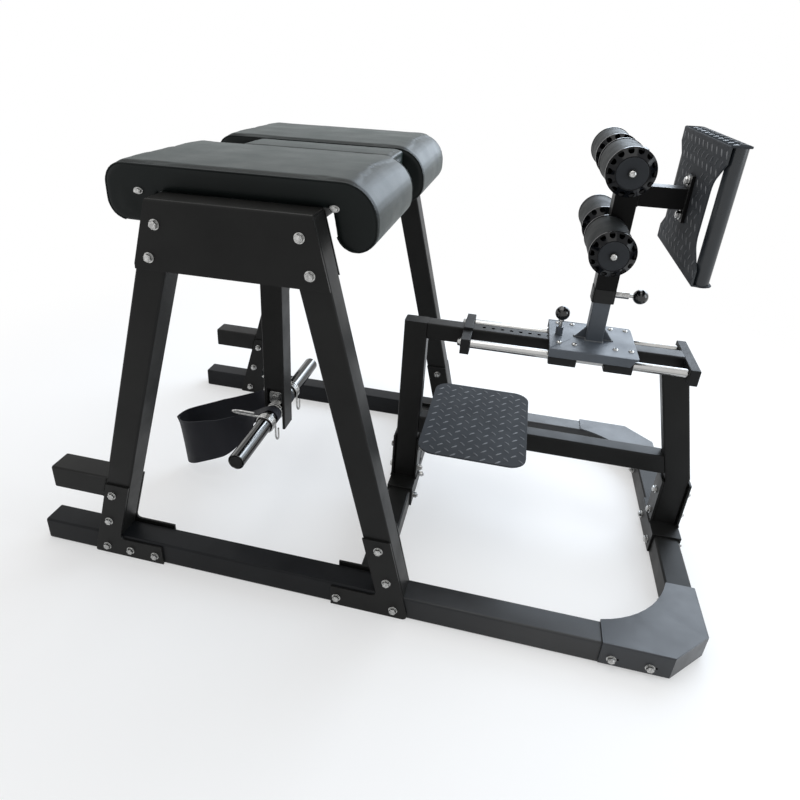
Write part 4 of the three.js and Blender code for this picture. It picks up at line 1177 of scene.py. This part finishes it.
def strapBand():
    s = strap
    stations = strapStations()
    path = smoothPath([station[0] for station in stations], s["perSpan"])
    rows = []
    for i, point in enumerate(path):
        before = path[max(i - 1, 0)]
        after = path[min(i + 1, len(path) - 1)]
        tangent = (after - before).normalized()
        span, share = divmod(i, s["perSpan"])
        share /= s["perSpan"]
        low = stations[min(span, len(stations) - 1)]
        high = stations[min(span + 1, len(stations) - 1)]
        half = (low[1] + (high[1] - low[1]) * share) / 2
        upright = low[2] + (high[2] - low[2]) * share
        flow = Vector((-s["lean"] * upright, 1 - upright, upright))
        flow = (flow - tangent * flow.dot(tangent)).normalized()
        rows.append([point + flow * half * (2 * k / s["columns"] - 1) for k in range(s["columns"] + 1)])
    mesh = bpy.data.meshes.new("ankle_band")
    shape = bmesh.new()
    uv = shape.loops.layers.uv.new("weave")
    grid = [[shape.verts.new(place) for place in row] for row in rows]
    widths = [(row[-1] - row[0]).length for row in rows]
    along = [0.0]
    for a, b in zip(path, path[1:]):
        along.append(along[-1] + (b - a).length)
    for i in range(len(rows) - 1):
        for k in range(s["columns"]):
            corners = ((i, k), (i, k + 1), (i + 1, k + 1), (i + 1, k))
            face = shape.faces.new([grid[row][column] for row, column in corners])
            for loop, (row, column) in zip(face.loops, corners):
                loop[uv].uv = (widths[row] * (column / s["columns"] - 0.5), along[row])
    shape.to_mesh(mesh)
    shape.free()
    band = newPiece("ankle_band", mesh)
    modify(band, "SOLIDIFY", thickness=s["shown"] * mm, offset=0)
    bevelSharp(band, 0.9, 2, 60)
    shade(band, 50)
    dress(band, "ankle_band", "strap", "strap_nylon")
    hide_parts("ankle_strap")


strapBand()

print("stage: pads")

pads = {
    "voxel": 6, "shrink": 2.5, "cap": 2.5, "dip": 0.6, "side": 472, "inner": 80, "floor": 1039.6,
    "welt": 2.0, "weltInset": 2.64, "stitchPitch": 5, "stitchInset": 10.5, "seamDepth": 0.9,
    "boardX": (438, 842), "boardY": (-463, -89), "boardThick": 20.5, "flatX": (444, 836),
}
clothFrames = 20
clothSettings = {
    "use_pressure": True, "uniform_pressure_force": 4, "quality": 4, "mass": 0.4, "tension_stiffness": 20,
    "compression_stiffness": 20, "bending_stiffness": 2,
}


def swell(piece, settings, fixed):  # pillow the form by cloth pressure, each point's outward move capped
    modify(piece, "REMESH", mode="VOXEL", voxel_size=settings["voxel"] * mm, use_smooth_shade=True)
    applyAll(piece)
    rest = [(v.co.copy(), v.normal.copy()) for v in piece.data.vertices]
    edit(piece)
    bpy.ops.mesh.select_all(action="SELECT")
    bpy.ops.transform.shrink_fatten(value=-settings["shrink"] * mm)
    endEdit()
    cloth = piece.modifiers.new("cloth", "CLOTH")
    setAll(cloth.settings, **clothSettings)
    cloth.settings.effector_weights.gravity = 0
    setAll(cloth.point_cache, frame_start=1, frame_end=clothFrames)
    for moment in range(1, clothFrames + 1):
        bpy.context.scene.frame_set(moment)
    bpy.ops.object.modifier_apply(modifier=cloth.name)
    bpy.context.scene.frame_set(1)
    for vertex, (home, outward) in zip(piece.data.vertices, rest):
        move = min(max((vertex.co - home).dot(outward), -settings["dip"] * mm), settings["cap"] * mm)
        vertex.co = home + outward * move * (1 - fixed(home))
    modify(piece, "SUBSURF", levels=1, render_levels=1)
    applyAll(piece)


def nearPad():
    piece = copyNode("near_pad")
    floor = pads["floor"] * mm

    def between(place, start, end):
        return at(start, 0, 0).x < place.x < at(end, 0, 0).x

    def fixed(home):  # still where the leather meets the board, the ledge and the centre pad
        overBoard = between(home, *pads["boardX"]) and home.z < floor + pads["boardThick"] * mm
        inPocket = overBoard and pads["boardY"][0] * mm < home.y < pads["boardY"][1] * mm
        if inPocket or (overBoard and home.z < floor + 0.003):
            return 1.0
        return 0.8 if home.y > -(pads["inner"] + 4) * mm else 0.0

    swell(piece, pads, fixed)
    for vertex in piece.data.vertices:
        if between(vertex.co, *pads["flatX"]) and vertex.co.z < floor + 0.0035:
            vertex.co.z = floor
    return piece


padPiece = nearPad()
print("pad points", len(padPiece.data.vertices))

padForm = {
    "left": 313, "right": 938, "leftDrop": 72, "hookDrop": 90, "cornerLeft": 48, "cornerTop": 84,
    "hookRound": 47, "rise": 57,
}


def seamPath(y, inset):  # the pad's outline at one station across the machine, drawn in by a little
    p = padForm
    floor = pads["floor"]
    top = floor + p["rise"]

    def arc(u, v, radius, start, end, steps):
        angles = (math.radians(start + (end - start) * i / steps) for i in range(steps + 1))
        return [(u + (radius - inset) * math.cos(a), v + (radius - inset) * math.sin(a)) for a in angles]

    hook = (p["right"] - p["hookRound"], floor - p["hookDrop"] + p["hookRound"])
    roll = (p["right"] - p["cornerTop"], top - p["cornerTop"])
    leftX = p["left"] + p["cornerLeft"]
    points = arc(*hook, p["hookRound"], -160, 0, 14) + arc(*roll, p["cornerTop"], 8, 90, 12)
    run = 8
    points += [(roll[0] + (leftX - roll[0]) * (i + 1) / (run + 1), top - inset) for i in range(run)]
    points += arc(leftX, top - p["cornerLeft"], p["cornerLeft"], 90, 180, 9)
    points += arc(leftX, floor - p["leftDrop"] + p["cornerLeft"], p["cornerLeft"], 186, 262, 8)
    return [at(x, y, z) for x, z in points]


def ontoSurface(piece, points, lift):
    found = []
    for point in points:
        hit, place, normal, _ = piece.closest_point_on_mesh(point)
        found.append((place + normal * lift, normal) if hit else (point, zAxis))
    return found


stitch = sphere(8, 6, 1, (2.1, 0.55, 0.5))


def evenSteps(points, pitch):
    out = []
    left = 0.0
    for a, b in zip(points, points[1:]):
        length = (b - a).length
        while left < length:
            out.append((a.lerp(b, left / length), (b - a).normalized()))
            left += pitch
        left -= length
    return out


def stitchRow(piece, points, pitch):
    places = []
    for point, along in evenSteps(points, pitch):
        hit, place, normal, _ = piece.closest_point_on_mesh(point)
        if hit:
            side = normal.cross(along).normalized()
            ahead = side.cross(normal)
            turn = Matrix((ahead, side, normal)).transposed().to_4x4()
            places.append(Matrix.Translation(place + normal * 0.0001) @ turn)
    return places


def sinkSeam(piece, points, width, depth):  # presses a groove along a line
    near = kdtree.KDTree(len(points))
    for i, point in enumerate(points):
        near.insert(point, i)
    near.balance()
    normals = [v.normal.copy() for v in piece.data.vertices]
    for vertex, normal in zip(piece.data.vertices, normals):
        _, _, distance = near.find(vertex.co)
        if distance < width * 2.5:
            vertex.co -= normal * depth * math.exp(-((distance / width) ** 2))


def mirroredCopy(piece, name):
    mesh = piece.data.copy()
    mesh.transform(Matrix.Scale(-1, 4, yAxis))
    mesh.flip_normals()
    return newPiece(name, mesh)


def finishPads():
    outerY = -(pads["side"] - pads["stitchInset"])
    innerY = -(pads["inner"] + pads["stitchInset"])
    places = []
    for y in (outerY, innerY):
        line = [spot for spot, _ in ontoSurface(padPiece, smoothPath(seamPath(y, 0), 10), 0)]
        sinkSeam(padPiece, [p for p, _ in evenSteps(line, 0.002)], 0.003, pads["seamDepth"] * mm)
        places += stitchRow(padPiece, line, pads["stitchPitch"] * mm)
    stitches = scatter("near_pad_stitches", stitch, places, "frame", "seam_thread")
    welts = []
    inset = pads["weltInset"]
    for word, y in (("outer", -(pads["side"] - inset)), ("inner", -(pads["inner"] + inset))):
        line = [spot for spot, _ in ontoSurface(padPiece, smoothPath(seamPath(y, inset), 6), 0.0004)]
        welts.append(wire(f"near_{word}_welt", line, pads["welt"] * mm, "frame", "pad_leather", 3))
    pickOnly(padPiece)
    bpy.ops.object.shade_smooth()
    farNames = ("far_pad_stitches", "far_outer_welt", "far_inner_welt")
    for piece, name in zip((stitches, *welts), farNames):
        dress(mirroredCopy(piece, name), name, "frame", piece.data.materials[0].name)
    far = mirroredCopy(padPiece, "far_half_pad")
    for piece, name, node in ((padPiece, "near_half_pad", "near_pad"), (far, "far_half_pad", "far_pad")):
        dress(piece, name, "frame", "pad_leather")
        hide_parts(node)


finishPads()

centre = dict(pads, cap=3.0, voxel=4, shrink=1.5)


def centrePad():
    piece = copyNode("centre_pad")
    floor = pads["floor"] * mm
    swell(piece, centre, lambda home: 1.0 if home.z < floor + 0.004 else 0.0)
    pickOnly(piece)
    bpy.ops.object.shade_smooth()
    dress(piece, "centre_cushion", "frame", "pad_leather")
    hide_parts("centre_pad")


centrePad()

for side, word in sides:
    nodes[word + "_pad_board"].data.materials.clear()
    nodes[word + "_pad_board"].data.materials.append(finish["board_plywood"])
    scatter(
        word + "_pad_bolts", boltShape,
        [
            Matrix.Translation(at(x, side * 471.5, z)) @ Matrix.Diagonal((0.95, 0.8, 0.62, 1))
            @ facing(Vector(), (0, side, 0)) for x, z in ((397, 1038), (844, 1040))
        ],
        "frame", "zinc_plate",
    )

print("stage: weld beads")

weld = {"pitch": 3.0, "radius": 3.0}
coin = sphere(8, 5, weld["radius"], (0.8, 1, 0.85))


def beads(name, lines, body, finishName="black_coat"):
    places = []
    for line in lines:
        for point, along in evenSteps([Vector(p) for p in line], weld["pitch"] * mm):
            turn = along.to_track_quat("X", "Z").to_matrix().to_4x4()
            wobble = Vector((random.uniform(-0.3, 0.3) * mm for _ in range(3)))
            places.append(Matrix.Translation(point + wobble) @ turn)
    return scatter(name, coin, places, body, finishName)


aroundSquare = ((-1, -1), (1, -1), (1, 1), (-1, 1), (-1, -1))
legFoot = 151  # where the stub's leg would meet the floor
legLean = 0.29
innerPlateFace = 458.4
bracketWeldZ = 76.8
towerWelds = []
for side in (-1, 1):
    for z in (201, 271):
        towerWelds.append([at(legFoot + legLean * z, side * y, z) for y in (471, 529)])
    for y in (465, 535):
        towerWelds.append([at(legFoot + legLean * z, side * y, z) for z in (207, 265)])
    for x in (470, 520, 752, 802):
        towerWelds.append([at(x, side * innerPlateFace, z) for z in (1003, 1036)])
for left, right in brackets.values():
    towerWelds += [[at(x, y, bracketWeldZ) for y in (-35, 35)] for x in (left, right)]
beads("frame_welds", towerWelds, "frame")

mastX = 1463
deckWeldZ = 640.5
armZ = 1041
carriageWelds = [[at(mastX + a * 22.5, b * 22.5, deckWeldZ) for a, b in aroundSquare]]
carriageWelds += [
    [at(mastX + x, y, deckWeldZ) for x in ends] for ends in ((24, 52), (-52, -24)) for y in (-3, 3)
]
carriageWelds.append([at(mastX - 23, 0, z) for z in (642, 676)])
# the carriage's beads take a lighter finish: painted highlight
beads("carriage_welds", carriageWelds, "carriage", "weld_bead")
mastWelds = [[at(x, a * 25, armZ + b * 25) for a, b in aroundSquare] for x in (mastX + 27.5, 1600)]
beads("mast_welds", mastWelds, "mast")
pendulumWelds = [[at(shaft["x"] + x, y, 935) for y in (-35, 35)] for x in (-21.7, 21.7)]
beads("pendulum_welds", pendulumWelds, "pendulum")

for shape in (boltShape, nutShape, screw, hole, cap, foam, mark, stitch, coin):
    bpy.data.objects.remove(shape)
